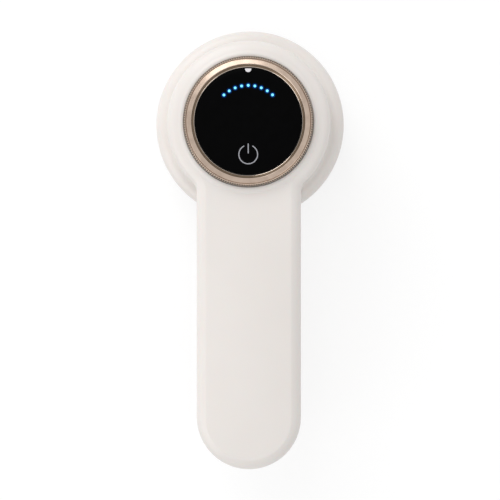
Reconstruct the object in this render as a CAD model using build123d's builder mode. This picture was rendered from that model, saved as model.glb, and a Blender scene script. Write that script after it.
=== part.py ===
from build123d import *
import os
from math import acos, cos, pi, radians, sin, tan

# Handheld body massager, in millimetres. The head's axis is Z, the handle points to -Y, and
# the tips of the pad's nodules stand on Z = 0.

# Case
handle_width = 49.0
handle_reach = 163.0
handle_thickness = 31.0
upper_depth = 15.5
case_wall = 2.2
top_round = 4.6
bottom_round = 9.0
neck_round = 7.0
flange_ledge = 1.0
flange_dome = 5.7
flange_rise = 5.0
skirt_taper = 3.0
lip_thickness = 1.0
lip_height = 1.5
lip_gap = 0.15
seam_chamfer = 0.3
shell_rib_depth = 4.0
shell_rib_thickness = 1.2

# Glass, dial and the gear under the case
glass_radius = 24.85
glass_thickness = 2.0
glass_lift = 1.5
glass_gap = 0.23
glass_chamfer = 0.2
carrier_wall = 2.1
dial_skirt = 3.17
dial_crown = 4.5
dial_gap = 0.3
dial_play = 0.2
dial_gear_height = 1.9
dial_teeth = 60
encoder_teeth = 10
tooth_hold = 0.216
dedendum = 1.15
addendum = 0.85
backlash = 0.16

# Display under the glass
display_flange = 2.0
display_floor = 1.2
display_wall = 1.5
display_boss_radius = 2.5
display_boss_gap = 0.9
display_rim_gap = 0.44
board_thickness = 1.2
board_drop = 3.6
board_gap = 0.3
board_post_radius = 1.8
lamp_width = 0.8
lamp_length = 1.3
lamp_height = 0.7
lamp_edge = 7.08
led_half_angle = 43.6
led_count = 9
led_dot_radius = 0.85
touch_radius = 5.0
touch_edge = 8.18
encoder_width = 9.0
encoder_height = 4.0
encoder_margin = 2.5
encoder_shaft_radius = 1.25

# Pad and orbit drive, from the floor up
nodule_height = 8.0
nodule_radius = 6.2
nodule_flat = 2.6
nodule_edge = 8.0
nodule_count = 8
centre_nodule_radius = 9.5
centre_nodule_flat = 6.5
pad_cover_thickness = 2.0
pad_edge = 3.5
pad_round = 1.6
pad_plate_thickness = 2.5
pad_plate_web = 0.8
snap_post_radius = 2.5
snap_post_edge = 13.0
snap_gap = 0.1
drive_plate_thickness = 2.5
drive_plate_edge = 2.0
drive_plate_hole = 3.6
crank_offset = 2.0
bearing_width = 5.0
bearing_bore = 6.0
bearing_outside = 15.0
bearing_fit = 0.01
bearing_boss_wall = 1.8
bearing_boss_lip = 0.3
ball_radius = 1.15
ball_count = 7
hub_step = 1.0
hub_height = 6.0
hub_radius = 8.0
weight_gap = 2.0
weight_half_angle = 75.0
guide_pin_radius = 2.0
guide_pin_edge = 7.0
guide_gap = 0.2
axial_gap = 0.5
running_gap = 0.05
frame_thickness = 2.0
frame_gap = 2.8
frame_rib = 1.5
frame_boss_radius = 3.0
guard_drop = 6.5
guard_gap = 0.7
guard_wall = 1.8
guard_taper = 1.0
guard_shelf = 1.0
guard_round = 0.6
spigot_wall = 1.5
spigot_height = 2.0
seal_thickness = 0.8
seal_gap = 0.6

# Motor
motor_height = 20.0
motor_radius = 16.1
motor_wall = 1.0
motor_boss_radius = 3.1
motor_screw_edge = 3.6
shaft_radius = 1.5
bushing_wall = 1.0
magnet_thickness = 2.4
air_gap = 0.5
rotor_height = 10.5
rotor_rim = 2.0
rotor_slot = 1.6
rotor_arm = 4.0
winding_width = 8.0
winding_overhang = 1.0
end_cap_height = 1.6
commutator_radius = 3.0
commutator_height = 2.4
brush_length = 3.0
brush_width = 2.4

# Battery, main board and charging socket
cell_radius = 9.2
cell_length = 65.0
cell_setback = 5.7
cell_round = 0.8
cell_gap = 0.1
cradle_thickness = 2.0
cradle_height = 8.4
strip_thickness = 0.3
strip_width = 5.0
foam_width = 9.0
foam_length = 10.0
main_board_thickness = 1.6
main_board_setback = 5.0
main_board_clearance = 6.0
main_board_chamfer = 4.0
board_boss_radius = 2.2
chip_size = 7.0
chip_height = 1.0
driver_width = 3.0
driver_length = 4.0
coil_size = 6.5
coil_height = 3.2
capacitor_radius = 2.5
capacitor_height = 5.6
socket_width = 8.94
socket_height = 3.26
socket_length = 7.35
socket_wall = 0.3
socket_gap = 0.3
socket_recess = 1.4
socket_drop = 4.77
socket_frame_width = 13.0
socket_frame_height = 7.0
tongue_width = 6.6
tongue_thickness = 0.7
connector_setback = 1.0
connector_length = 4.0
connector_width = 5.6
connector_height = 4.0
lead_radius = 0.65
lead_pitch = 2.0
cable_width = 4.8
cable_thickness = 0.3
cable_bend = 1.2

# Screws
case_screw_radius = 1.3
case_screw_edge = 7.0
case_screw_front = 7.7
case_screw_end = 43.0
case_screw_seat = 5.5
case_screw_bite = 6.0
case_boss_radius = 3.2
case_boss_step = 0.4
case_boss_gap = 0.9
counterbore_step = 0.3
plug_depth = 2.4
small_screw_radius = 1.0
display_screw_bite = 3.2
frame_screw_bite = 3.0
board_screw_foot = 1.9
pilot_spare = 0.4
screw_gap = 0.05

# Levels that follow from the stack of pieces
pad_plate_z = nodule_height + pad_cover_thickness
drive_plate_z = pad_plate_z + pad_plate_thickness
drive_plate_top = drive_plate_z + drive_plate_thickness
bearing_top = drive_plate_top + bearing_width
hub_z = bearing_top + hub_step
hub_top = hub_z + hub_height
frame_z = hub_top + axial_gap
frame_top = frame_z + frame_thickness
motor_top = frame_top + motor_height
display_z = motor_top + axial_gap
display_flange_top = display_z + display_flange
dial_gear_z = display_flange_top + dial_play
case_under = dial_gear_z + dial_gear_height + dial_play
case_top = case_under + case_wall
case_bottom = case_top - handle_thickness
case_middle = (case_top + case_bottom) / 2
case_floor = case_bottom + case_wall
parting = case_top - upper_depth
skirt_z = drive_plate_top + 2 * axial_gap
rim_z = frame_top + 3 * axial_gap
shoulder_z = rim_z + flange_rise
glass_z = case_top + glass_lift
board_top = glass_z - board_drop
board_z = board_top - board_thickness
crown_z = case_top + dial_crown
socket_z = parting - socket_drop
main_board_top = socket_z - socket_height / 2
main_board_z = main_board_top - main_board_thickness
screw_seat = case_bottom + case_screw_seat

# Head in plan, outwards from the glass to the flange
dial_inner = glass_radius + glass_gap
carrier_outer = dial_inner + carrier_wall
dial_radius = carrier_outer + dial_skirt
dial_opening = carrier_outer + dial_gap
tooth_module = (dial_opening + tooth_hold) / (dial_teeth / 2 - dedendum)
dial_gear_pitch = dial_teeth * tooth_module / 2
encoder_gear_pitch = encoder_teeth * tooth_module / 2
encoder_y = -(dial_gear_pitch + encoder_gear_pitch)
display_outer = dial_inner - 2 * running_gap
cup_inner = display_outer - display_wall
led_circle = cup_inner - lamp_edge
power_mark_offset = cup_inner - touch_edge
display_boss_circle = dial_gear_pitch + tooth_module + display_boss_gap + display_boss_radius
display_flange_radius = display_boss_circle + display_boss_radius
boss_radius = display_flange_radius + display_rim_gap + case_wall
flange_radius = boss_radius + flange_ledge + flange_dome

# Underside in plan, inwards from the flange to the pad and its drive
skirt_radius = flange_radius - skirt_taper
skirt_inner = skirt_radius - case_wall
spigot_outer = skirt_inner - lip_gap
seal_outer = spigot_outer - spigot_wall
guard_inner = skirt_radius - guard_taper - guard_wall
pad_radius = guard_inner - guard_gap - crank_offset
nodule_circle = pad_radius - nodule_edge
pad_plate_radius = pad_radius - pad_edge
snap_post_circle = pad_plate_radius - snap_post_edge
drive_plate_radius = pad_plate_radius - drive_plate_edge
guide_pin_circle = drive_plate_radius - guide_pin_edge
weight_radius = guide_pin_circle - guide_pin_radius - crank_offset - weight_gap
frame_radius = flange_radius - case_wall - frame_gap
frame_screw_circle = frame_radius - frame_boss_radius
motor_screw_circle = motor_radius - motor_screw_edge

# Handle in plan, from the neck to the tail
handle_end_radius = handle_width / 2
handle_centre = handle_reach - handle_end_radius
case_screw_x = handle_end_radius - case_screw_edge
case_screw_rows = (boss_radius + case_screw_front, handle_reach - case_screw_end)
case_screw_points = [(x, -y) for y in case_screw_rows for x in (-case_screw_x, case_screw_x)]
cell_front = boss_radius + cell_setback
cell_back = cell_front + cell_length
main_board_front = cell_back + main_board_setback
main_board_end = handle_reach - main_board_clearance
main_board_half_width = case_screw_x - case_boss_radius - case_boss_step - case_boss_gap
connector_front = main_board_front + connector_setback
connector_back = connector_front + connector_length
connector_y = -(connector_front + connector_length / 2)
cable_x = main_board_half_width - connector_width / 2
socket_front = handle_reach - socket_recess
socket_back = socket_front - socket_length

pad_plane = Plane(origin=(0, -crank_offset, 0))
crank_axis = Axis((0, -crank_offset, 0), (0, 0, 1))


def case_plan(inset):
    """Plan of the boss and the handle in one outline, drawn in by inset, with rounded necks."""
    end_radius = handle_end_radius - inset
    with BuildSketch() as plan:
        Circle(boss_radius - inset)
        with Locations((0, -handle_centre / 2)):
            Rectangle(2 * end_radius, handle_centre)
        with Locations((0, -handle_centre)):
            Circle(end_radius)
        corners = plan.vertices().filter_by(lambda v: -boss_radius < v.Y < 0)
        fillet(corners.filter_by(lambda v: abs(abs(v.X) - end_radius) < 0.01), neck_round + inset)
    return plan.sketch


def case_half(inset, face_z, edge_round):
    """Solid from the seam to the face of one half, whose far edge is rounded."""
    with BuildPart() as half:
        with BuildSketch(Plane.XY.offset(parting)):
            add(case_plan(inset))
        extrude(amount=face_z - parting)
        far = half.faces().sort_by(lambda f: abs(f.center().Z - parting))[-1]
        fillet(far.edges(), edge_round)
    return half.part


def head_solid(inset):
    """Turned skirt, domed flange and boss below the seam, all drawn in by inset."""
    rim = (flange_radius - inset, rim_z)
    foot = (boss_radius + flange_ledge - inset, shoulder_z - inset)
    with BuildPart() as head:
        with BuildSketch(Plane.XZ):
            with BuildLine():
                Polyline((0, skirt_z), (skirt_radius - inset, skirt_z), rim)
                TangentArc(rim, foot, tangent=(0, 1))
                Polyline(foot, (boss_radius - inset, foot[1]), (boss_radius - inset, parting),
                         (0, parting), (0, skirt_z))
            make_face()
        revolve(axis=Axis.Z)
    return head.part


def gear_plan(teeth, first_tooth):
    """Spur gear outline: straight flanks from root to tip whose half widths are the involute's."""
    pitch = teeth * tooth_module / 2
    base = pitch * cos(radians(20))
    root = pitch - dedendum * tooth_module
    tip = pitch + addendum * tooth_module
    half_at_pitch = pi / (2 * teeth) - backlash / (2 * pitch)
    involute = lambda r: tan(acos(base / r)) - acos(base / r)
    half_tip = half_at_pitch + involute(pitch) - involute(tip)
    half_root = half_at_pitch + involute(pitch) - involute(max(root, base))
    corners = []
    for tooth in range(teeth):
        middle = radians(first_tooth) + 2 * pi * tooth / teeth
        for radius, turn in ((root, -half_root), (tip, -half_tip), (tip, half_tip), (root, half_root)):
            corners.append((radius * cos(middle + turn), radius * sin(middle + turn)))
    with BuildSketch() as plan:
        with BuildLine():
            Polyline(*corners, close=True)
        make_face()
    return plan.sketch


def screw_set(plane, points, radius, length):
    """Pan-head screws on a plane: heads below it, shanks along its normal, a cross in each head."""
    head = 2 * radius
    with BuildPart() as screws:
        with BuildSketch(plane.offset(-1.2 * radius)):
            with Locations(*points):
                Circle(head)
        extrude(amount=1.2 * radius)
        with BuildSketch(plane):
            with Locations(*points):
                Circle(radius)
        extrude(amount=length)
        with BuildSketch(plane.offset(-1.2 * radius)):
            with Locations(*points):
                Rectangle(1.3 * head, 0.3 * head)
                Rectangle(0.3 * head, 1.3 * head)
        extrude(amount=0.6 * radius, mode=Mode.SUBTRACT)
    return screws.part


def lead(points, radii):
    """Round wire along straight runs joined by tangent arcs."""
    with BuildPart() as wire:
        with BuildLine() as route:
            FilletPolyline(*points, radius=radii)
        with BuildSketch(Plane(origin=route.line @ 0, z_dir=route.line % 0)):
            Circle(lead_radius)
        sweep()
    length = sum(edge.length for edge in route.edges())
    share = wire.part.volume / (pi * lead_radius ** 2 * length)
    print("lead", round(length, 1), "mm, radii", radii, "volume share", round(share, 4))
    return wire.part


def polar(radius, angle):
    """Point at a radius and an angle in degrees."""
    return (radius * cos(radians(angle)), radius * sin(radians(angle)))


# Upper shell: plateau and rounded edge of boss and handle, open under the dial
upper_outer = case_half(0, case_top, top_round)
upper_inner = case_half(case_wall, case_under, top_round - case_wall)

with BuildPart() as shell_ribs:
    for share in (0.2, 0.5, 0.8):
        rib_y = connector_back + share * (main_board_end - connector_back)
        with BuildSketch(Plane.XZ.offset(rib_y)):
            with Locations((0, case_under)):
                Rectangle(handle_width, shell_rib_depth, align=(Align.CENTER, Align.MAX))
        extrude(amount=shell_rib_thickness)
    add(upper_inner, mode=Mode.INTERSECT)

with BuildPart() as upper_shell:
    add(upper_outer)
    chamfer(upper_shell.faces().sort_by(Axis.Z)[0].edges(), seam_chamfer)
    add(upper_inner, mode=Mode.SUBTRACT)
    with BuildSketch(Plane.XY.offset(parting)):
        add(case_plan(case_wall))
        add(case_plan(case_wall + lip_gap + lip_thickness), mode=Mode.SUBTRACT)
    extrude(amount=lip_height)
    with BuildSketch(Plane.XY.offset(parting)):
        add(case_plan(case_wall + lip_gap))
        add(case_plan(case_wall + lip_gap + lip_thickness), mode=Mode.SUBTRACT)
    extrude(amount=-lip_height)
    with BuildSketch(Plane.XY.offset(case_under)):
        Circle(dial_opening)
    extrude(amount=case_wall, mode=Mode.SUBTRACT)
    with BuildSketch(Plane.XY.offset(display_flange_top)):
        with PolarLocations(display_boss_circle, 4, 45):
            Circle(display_boss_radius)
    extrude(amount=case_under - display_flange_top + screw_gap)
    with BuildSketch(Plane.XY.offset(display_flange_top)):
        with PolarLocations(display_boss_circle, 4, 45):
            Circle(small_screw_radius + screw_gap)
    extrude(amount=display_screw_bite + pilot_spare, mode=Mode.SUBTRACT)
    with BuildSketch(Plane.XY.offset(parting)):
        with Locations(*case_screw_points):
            Circle(case_boss_radius)
    extrude(amount=case_under - parting + screw_gap)
    with BuildSketch(Plane.XY.offset(parting)):
        with Locations(*case_screw_points):
            Circle(case_screw_radius + screw_gap)
    extrude(amount=case_screw_bite + pilot_spare, mode=Mode.SUBTRACT)
    add(shell_ribs.part)

# Lower shell: skirt and domed flange of the head with the underside of the handle
handle_under = case_half(0, case_bottom, bottom_round)
handle_hollow = case_half(case_wall, case_floor, bottom_round - case_wall)
head_outer = head_solid(0)
head_inner = head_solid(case_wall)

counterbore = 2 * case_screw_radius + counterbore_step

with BuildPart() as case_bosses:
    with BuildSketch(Plane.XY.offset(case_bottom)):
        with Locations(*case_screw_points):
            Circle(case_boss_radius + case_boss_step)
    extrude(amount=parting - case_bottom)
    add(handle_under, mode=Mode.INTERSECT)

with BuildPart() as frame_bosses:
    with BuildSketch(Plane.XY.offset(frame_top)):
        with PolarLocations(frame_screw_circle, 4, 45):
            Circle(frame_boss_radius)
    extrude(amount=shoulder_z - frame_top)
    add(head_outer, mode=Mode.INTERSECT)

front_post_x = main_board_half_width - board_boss_radius - board_gap
back_post_x = main_board_half_width - main_board_chamfer
front_post_y = -(connector_back + board_boss_radius + 4 * board_gap)
back_post_y = main_board_clearance - main_board_end
board_posts = [(x, front_post_y) for x in (-front_post_x, front_post_x)]
board_posts += [(x, back_post_y) for x in (-back_post_x, back_post_x)]
board_pilot_z = case_floor + board_screw_foot - 2 * board_gap

with BuildPart() as lower_shell:
    add(head_outer)
    add(handle_under)
    add(head_inner, mode=Mode.SUBTRACT)
    add(handle_hollow, mode=Mode.SUBTRACT)
    add(case_bosses.part)
    add(frame_bosses.part)
    for share in (0.15, 0.5, 0.85):
        cradle_y = cell_front + share * cell_length - cradle_thickness / 2
        with BuildSketch(Plane.XZ.offset(cradle_y)):
            with Locations((0, case_floor - screw_gap)):
                Rectangle(2 * (cell_radius + cradle_thickness), cradle_height,
                          align=(Align.CENTER, Align.MIN))
            with Locations((0, case_middle)):
                Circle(cell_radius + cell_gap, mode=Mode.SUBTRACT)
        extrude(amount=cradle_thickness)
    with BuildSketch(Plane.XY.offset(case_floor - screw_gap)):
        with Locations(*board_posts):
            Circle(board_boss_radius)
    extrude(amount=main_board_z - case_floor + screw_gap)
    with BuildSketch(Plane.XY.offset(board_pilot_z)):
        with Locations(*board_posts):
            Circle(small_screw_radius + screw_gap)
    extrude(amount=main_board_z - board_pilot_z, mode=Mode.SUBTRACT)
    with BuildSketch(Plane.XY.offset(case_bottom)):
        with Locations(*case_screw_points):
            Circle(counterbore)
    extrude(amount=screw_seat - case_bottom, mode=Mode.SUBTRACT)
    with BuildSketch(Plane.XY.offset(screw_seat)):
        with Locations(*case_screw_points):
            Circle(case_screw_radius + screw_gap)
    extrude(amount=parting - screw_seat, mode=Mode.SUBTRACT)
    with BuildSketch(Plane.XY.offset(frame_top)):
        with PolarLocations(frame_screw_circle, 4, 45):
            Circle(small_screw_radius + screw_gap)
    extrude(amount=frame_screw_bite + pilot_spare, mode=Mode.SUBTRACT)
    with BuildSketch(Plane.XZ.offset(socket_front)):
        with Locations((0, socket_z)):
            SlotOverall(socket_frame_width, socket_frame_height)
    extrude(amount=socket_recess, mode=Mode.SUBTRACT)
    with BuildSketch(Plane.XZ.offset(handle_reach - 2 * case_wall)):
        with Locations((0, socket_z)):
            SlotOverall(socket_width + 2 * socket_gap, socket_height + 2 * socket_gap)
    extrude(amount=2 * case_wall, mode=Mode.SUBTRACT)

case_screws = screw_set(Plane.XY.offset(screw_seat), case_screw_points, case_screw_radius,
                        parting - screw_seat + case_screw_bite)

with BuildPart() as screw_plugs:
    with BuildSketch(Plane.XY.offset(case_bottom)):
        with Locations(*case_screw_points):
            Circle(counterbore - screw_gap)
    extrude(amount=plug_depth)
    add(handle_under, mode=Mode.INTERSECT)

# Guard ring that snaps into the skirt and holds the dust seal over the drive plate
guard_z = skirt_z - guard_drop
shelf_top = skirt_z - guard_gap
shelf_inner = guard_inner - guard_gap - crank_offset

with BuildPart() as guard_ring:
    with BuildSketch(Plane.XZ):
        with BuildLine():
            Polyline(
                (guard_inner + guard_wall, guard_z),
                (skirt_radius, skirt_z),
                (spigot_outer, skirt_z),
                (spigot_outer, skirt_z + spigot_height),
                (seal_outer, skirt_z + spigot_height),
                (seal_outer, shelf_top),
                (shelf_inner, shelf_top),
                (shelf_inner, shelf_top - guard_shelf),
                (guard_inner, shelf_top - guard_shelf),
                (guard_inner, guard_z),
                close=True,
            )
        make_face()
    revolve(axis=Axis.Z)
    fillet(guard_ring.edges().group_by(Axis.Z)[0], guard_round)

with BuildPart() as dust_seal:
    with BuildSketch(Plane.XY.offset(shelf_top)):
        Circle(seal_outer - screw_gap)
        Circle(guide_pin_circle + guide_pin_radius + crank_offset + seal_gap, mode=Mode.SUBTRACT)
    extrude(amount=seal_thickness)

# Soft pad with its nodules, over a hard plate that snaps onto the drive plate
with BuildPart() as nodule:
    with BuildSketch(Plane.XZ):
        with BuildLine():
            Polyline((nodule_radius, nodule_height), (0, nodule_height), (0, 0), (nodule_flat, 0))
            ThreePointArc((nodule_flat, 0), (0.92 * nodule_radius, 0.4 * nodule_height),
                          (nodule_radius, nodule_height))
        make_face()
    revolve(axis=Axis.Z)

with BuildPart() as centre_nodule:
    with BuildSketch(Plane.XZ):
        with BuildLine():
            Polyline((centre_nodule_radius, nodule_height), (0, nodule_height), (0, 0),
                     (centre_nodule_flat, 0))
            ThreePointArc((centre_nodule_flat, 0), (0.95 * centre_nodule_radius, 0.4 * nodule_height),
                          (centre_nodule_radius, nodule_height))
        make_face()
    revolve(axis=Axis.Z)

with BuildPart() as massage_pad:
    with BuildSketch(pad_plane.offset(nodule_height)):
        Circle(pad_radius)
    extrude(amount=drive_plate_z - guide_gap - nodule_height)
    fillet(massage_pad.edges().group_by(Axis.Z)[0], pad_round)
    with BuildSketch(pad_plane.offset(pad_plate_z)):
        Circle(pad_plate_radius)
    extrude(amount=pad_plate_thickness, mode=Mode.SUBTRACT)
    with Locations((0, -crank_offset, 0)):
        add(centre_nodule.part)
        with PolarLocations(nodule_circle, nodule_count, 90):
            add(nodule.part)

with BuildPart() as pad_plate:
    with BuildSketch(pad_plane.offset(pad_plate_z)):
        Circle(pad_plate_radius)
    extrude(amount=pad_plate_thickness)
    with BuildSketch(pad_plane.offset(pad_plate_z + pad_plate_web)):
        with PolarLocations(snap_post_circle, 3, 30):
            Circle(snap_post_radius + snap_gap)
    extrude(amount=pad_plate_thickness, mode=Mode.SUBTRACT)

# Drive plate: bearing boss on top, snap posts below, lightening holes between
bearing_seat = bearing_outside / 2 + bearing_fit
bearing_boss_height = bearing_width + bearing_boss_lip

with BuildPart() as drive_plate:
    with BuildSketch(pad_plane.offset(drive_plate_z)):
        Circle(drive_plate_radius)
    extrude(amount=drive_plate_thickness)
    with BuildSketch(pad_plane.offset(drive_plate_top)):
        Circle(bearing_seat + bearing_boss_wall)
    extrude(amount=bearing_boss_height)
    with BuildSketch(pad_plane.offset(drive_plate_top)):
        Circle(bearing_seat)
    extrude(amount=bearing_boss_height, mode=Mode.SUBTRACT)
    with BuildSketch(pad_plane.offset(drive_plate_z)):
        with PolarLocations(0.55 * drive_plate_radius, 6, 0):
            Circle(drive_plate_hole)
    extrude(amount=drive_plate_thickness, mode=Mode.SUBTRACT)
    with BuildSketch(pad_plane.offset(drive_plate_z)):
        with PolarLocations(snap_post_circle, 3, 30):
            Circle(snap_post_radius)
    extrude(amount=-(pad_plate_thickness - pad_plate_web - guide_gap))

with BuildPart() as guide_pins:
    with BuildSketch(pad_plane.offset(drive_plate_top)):
        with PolarLocations(guide_pin_circle, 3, 90):
            Circle(guide_pin_radius)
    extrude(amount=frame_top - axial_gap - drive_plate_top)
    chamfer(guide_pins.edges().group_by(Axis.Z)[-1], 0.2 * guide_pin_radius)

# Ball bearing on the crank pin
bearing_plane = Plane.XZ.offset(crank_offset)
bearing_middle = drive_plate_top + bearing_width / 2
ball_circle = (bearing_bore + bearing_outside) / 4
race_gap = 0.83 * ball_radius

with BuildPart() as bearing_inner:
    with BuildSketch(bearing_plane):
        with BuildLine():
            Polyline(
                (bearing_bore / 2, drive_plate_top),
                (ball_circle - race_gap, drive_plate_top),
                (ball_circle - race_gap, bearing_top),
                (bearing_bore / 2, bearing_top),
                close=True,
            )
        make_face()
        with Locations((ball_circle, bearing_middle)):
            Circle(ball_radius + running_gap, mode=Mode.SUBTRACT)
    revolve(axis=crank_axis)

with BuildPart() as bearing_outer:
    with BuildSketch(bearing_plane):
        with BuildLine():
            Polyline(
                (ball_circle + race_gap, drive_plate_top),
                (bearing_outside / 2, drive_plate_top),
                (bearing_outside / 2, bearing_top),
                (ball_circle + race_gap, bearing_top),
                close=True,
            )
        make_face()
        with Locations((ball_circle, bearing_middle)):
            Circle(ball_radius + running_gap, mode=Mode.SUBTRACT)
    revolve(axis=crank_axis)

with BuildPart() as bearing_balls:
    with Locations((0, -crank_offset, bearing_middle)):
        with PolarLocations(ball_circle, ball_count, 90):
            Sphere(ball_radius)

# Eccentric hub with its crank pin, the counterweight and the screw that locks it to the shaft
shaft_low = hub_z + hub_height / 4
lock_screw_z = hub_z + 0.6 * hub_height

with BuildPart() as eccentric_hub:
    with BuildSketch(Plane.XY.offset(hub_z)):
        Circle(hub_radius)
    extrude(amount=hub_height)
    with BuildSketch(pad_plane.offset(bearing_top)):
        Circle(bearing_bore / 2 + hub_step)
    extrude(amount=hub_step)
    with BuildSketch(pad_plane.offset(drive_plate_top + guide_gap)):
        Circle(bearing_bore / 2)
    extrude(amount=bearing_width - guide_gap)
    with BuildSketch(Plane.XY.offset(shaft_low)):
        Circle(shaft_radius)
    extrude(amount=hub_top - shaft_low, mode=Mode.SUBTRACT)
    with BuildSketch(Plane.XZ.offset(shaft_radius)):
        with Locations((0, lock_screw_z)):
            Circle(case_screw_radius + screw_gap)
    extrude(amount=hub_radius, mode=Mode.SUBTRACT)

with BuildPart() as lock_screw:
    with BuildSketch(Plane.XZ.offset(shaft_radius)):
        with Locations((0, lock_screw_z)):
            Circle(case_screw_radius)
        with Locations((0, lock_screw_z)):
            RegularPolygon(case_screw_radius / 2, 6, mode=Mode.SUBTRACT)
    extrude(amount=hub_radius - shaft_radius - axial_gap)

with BuildPart() as counterweight:
    with BuildSketch(Plane.XY.offset(hub_z + guide_gap)):
        with BuildLine():
            start = polar(weight_radius, 90 - weight_half_angle)
            end = polar(weight_radius, 90 + weight_half_angle)
            inner_end = polar(hub_radius, 90 + weight_half_angle)
            inner_start = polar(hub_radius, 90 - weight_half_angle)
            ThreePointArc(start, (0, weight_radius), end)
            Line(end, inner_end)
            ThreePointArc(inner_end, (0, hub_radius), inner_start)
            Line(inner_start, start)
        make_face()
    extrude(amount=hub_height - 2 * guide_gap)

# Drive frame: plate that carries the motor, with the holes that keep the pad from turning
with BuildPart() as drive_frame:
    with BuildSketch(Plane.XY.offset(frame_z)):
        Circle(frame_radius)
        Circle(motor_boss_radius + screw_gap, mode=Mode.SUBTRACT)
        with PolarLocations(guide_pin_circle, 3, 90):
            Circle(guide_pin_radius + crank_offset + guide_gap, mode=Mode.SUBTRACT)
        with PolarLocations(frame_screw_circle, 4, 45):
            Circle(small_screw_radius + screw_gap, mode=Mode.SUBTRACT)
    extrude(amount=frame_thickness)
    with BuildSketch(Plane.XY.offset(frame_top)):
        Circle(frame_screw_circle - frame_boss_radius - frame_thickness)
        Circle(frame_screw_circle - frame_boss_radius - frame_thickness - frame_rib,
               mode=Mode.SUBTRACT)
    extrude(amount=frame_rib)
    with Locations(Plane(origin=(0, 0, frame_z), z_dir=(0, 0, -1))):
        with PolarLocations(motor_screw_circle, 2, 0):
            CounterSinkHole(small_screw_radius + screw_gap, 2 * small_screw_radius + screw_gap)

frame_screw_points = [polar(frame_screw_circle, 45 + 90 * turn) for turn in range(4)]
frame_screws = screw_set(Plane.XY.offset(frame_z), frame_screw_points, small_screw_radius,
                         frame_thickness + frame_screw_bite)

with BuildPart() as motor_screws:
    with BuildSketch(Plane.XZ):
        with BuildLine():
            Polyline(
                (motor_screw_circle, frame_z),
                (motor_screw_circle + 2 * small_screw_radius, frame_z),
                (motor_screw_circle + small_screw_radius, frame_z + small_screw_radius),
                (motor_screw_circle + small_screw_radius, frame_top + motor_wall),
                (motor_screw_circle, frame_top + motor_wall),
                close=True,
            )
        make_face()
    revolve(axis=Axis((motor_screw_circle, 0, 0), (0, 0, 1)))
    mirror(about=Plane.YZ)

# Motor: can, magnets, three-pole rotor with its windings, commutator, brushes and end cap
can_top = motor_top - end_cap_height
can_inner = motor_radius - motor_wall
magnet_inner = can_inner - magnet_thickness
rotor_radius = magnet_inner - air_gap
rotor_z = frame_top + motor_wall + 3 * winding_overhang
commutator_z = can_top - commutator_height - axial_gap

with BuildPart() as motor_can:
    with BuildSketch(Plane.XY.offset(frame_top)):
        Circle(motor_radius)
    extrude(amount=can_top - frame_top)
    with BuildSketch(Plane.XY.offset(frame_top + motor_wall)):
        Circle(can_inner)
    extrude(amount=can_top - frame_top - motor_wall, mode=Mode.SUBTRACT)
    with BuildSketch(Plane.XY.offset(hub_top + axial_gap / 2)):
        Circle(motor_boss_radius)
    extrude(amount=frame_top + motor_wall - hub_top - axial_gap / 2)
    with BuildSketch(Plane.XY.offset(hub_top)):
        Circle(shaft_radius + bushing_wall)
    extrude(amount=frame_top + 2 * motor_wall - hub_top, mode=Mode.SUBTRACT)
    with BuildSketch(Plane.XY.offset(frame_top)):
        with PolarLocations(motor_screw_circle, 2, 0):
            Circle(small_screw_radius + screw_gap)
    extrude(amount=motor_wall, mode=Mode.SUBTRACT)

with BuildPart() as motor_magnets:
    with BuildSketch(Plane.XY.offset(frame_top + motor_wall)):
        Circle(can_inner)
        Circle(magnet_inner, mode=Mode.SUBTRACT)
        Rectangle(2 * motor_radius, 0.45 * motor_radius, mode=Mode.SUBTRACT)
    extrude(amount=can_top - frame_top - 3 * motor_wall)

with BuildPart() as motor_shaft:
    with BuildSketch(Plane.XY.offset(shaft_low)):
        Circle(shaft_radius)
    extrude(amount=motor_top - axial_gap - shaft_low)

with BuildPart() as rotor_core:
    with BuildSketch(Plane.XY.offset(rotor_z)):
        Circle(rotor_radius)
        Circle(rotor_radius - rotor_rim, mode=Mode.SUBTRACT)
        with PolarLocations(0.75 * rotor_radius, 3, 30):
            Rectangle(rotor_radius, rotor_slot, mode=Mode.SUBTRACT)
        Circle(shaft_radius + rotor_rim)
        with PolarLocations(0.55 * rotor_radius, 3, 90):
            Rectangle(0.75 * rotor_radius, rotor_arm)
        Circle(shaft_radius, mode=Mode.SUBTRACT)
    extrude(amount=rotor_height)

with BuildPart() as windings:
    with BuildSketch(Plane.XY.offset(rotor_z - winding_overhang)):
        with PolarLocations(0.6 * rotor_radius, 3, 90):
            Rectangle(0.36 * rotor_radius, winding_width)
    extrude(amount=rotor_height + 2 * winding_overhang)
    add(rotor_core.part, mode=Mode.SUBTRACT)

with BuildPart() as commutator:
    with BuildSketch(Plane.XY.offset(commutator_z)):
        Circle(commutator_radius)
        Circle(shaft_radius, mode=Mode.SUBTRACT)
        with PolarLocations(commutator_radius, 3, 0):
            Rectangle(commutator_radius / 3, commutator_radius / 8, mode=Mode.SUBTRACT)
    extrude(amount=commutator_height)

with BuildPart() as motor_end_cap:
    with BuildSketch(Plane.XY.offset(can_top)):
        Circle(motor_radius)
        Circle(shaft_radius + bushing_wall, mode=Mode.SUBTRACT)
    extrude(amount=end_cap_height)
    with BuildSketch(Plane.XY.offset(can_top - motor_wall)):
        Circle(can_inner - screw_gap)
        Circle(can_inner - motor_wall, mode=Mode.SUBTRACT)
    extrude(amount=motor_wall)

brush_x = commutator_radius + running_gap + brush_length / 2

with BuildPart() as motor_brushes:
    with BuildSketch(Plane.XY.offset(commutator_z + axial_gap)):
        with Locations((brush_x, 0), (-brush_x, 0)):
            Rectangle(brush_length, brush_width)
    extrude(amount=can_top - commutator_z - axial_gap)

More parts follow.
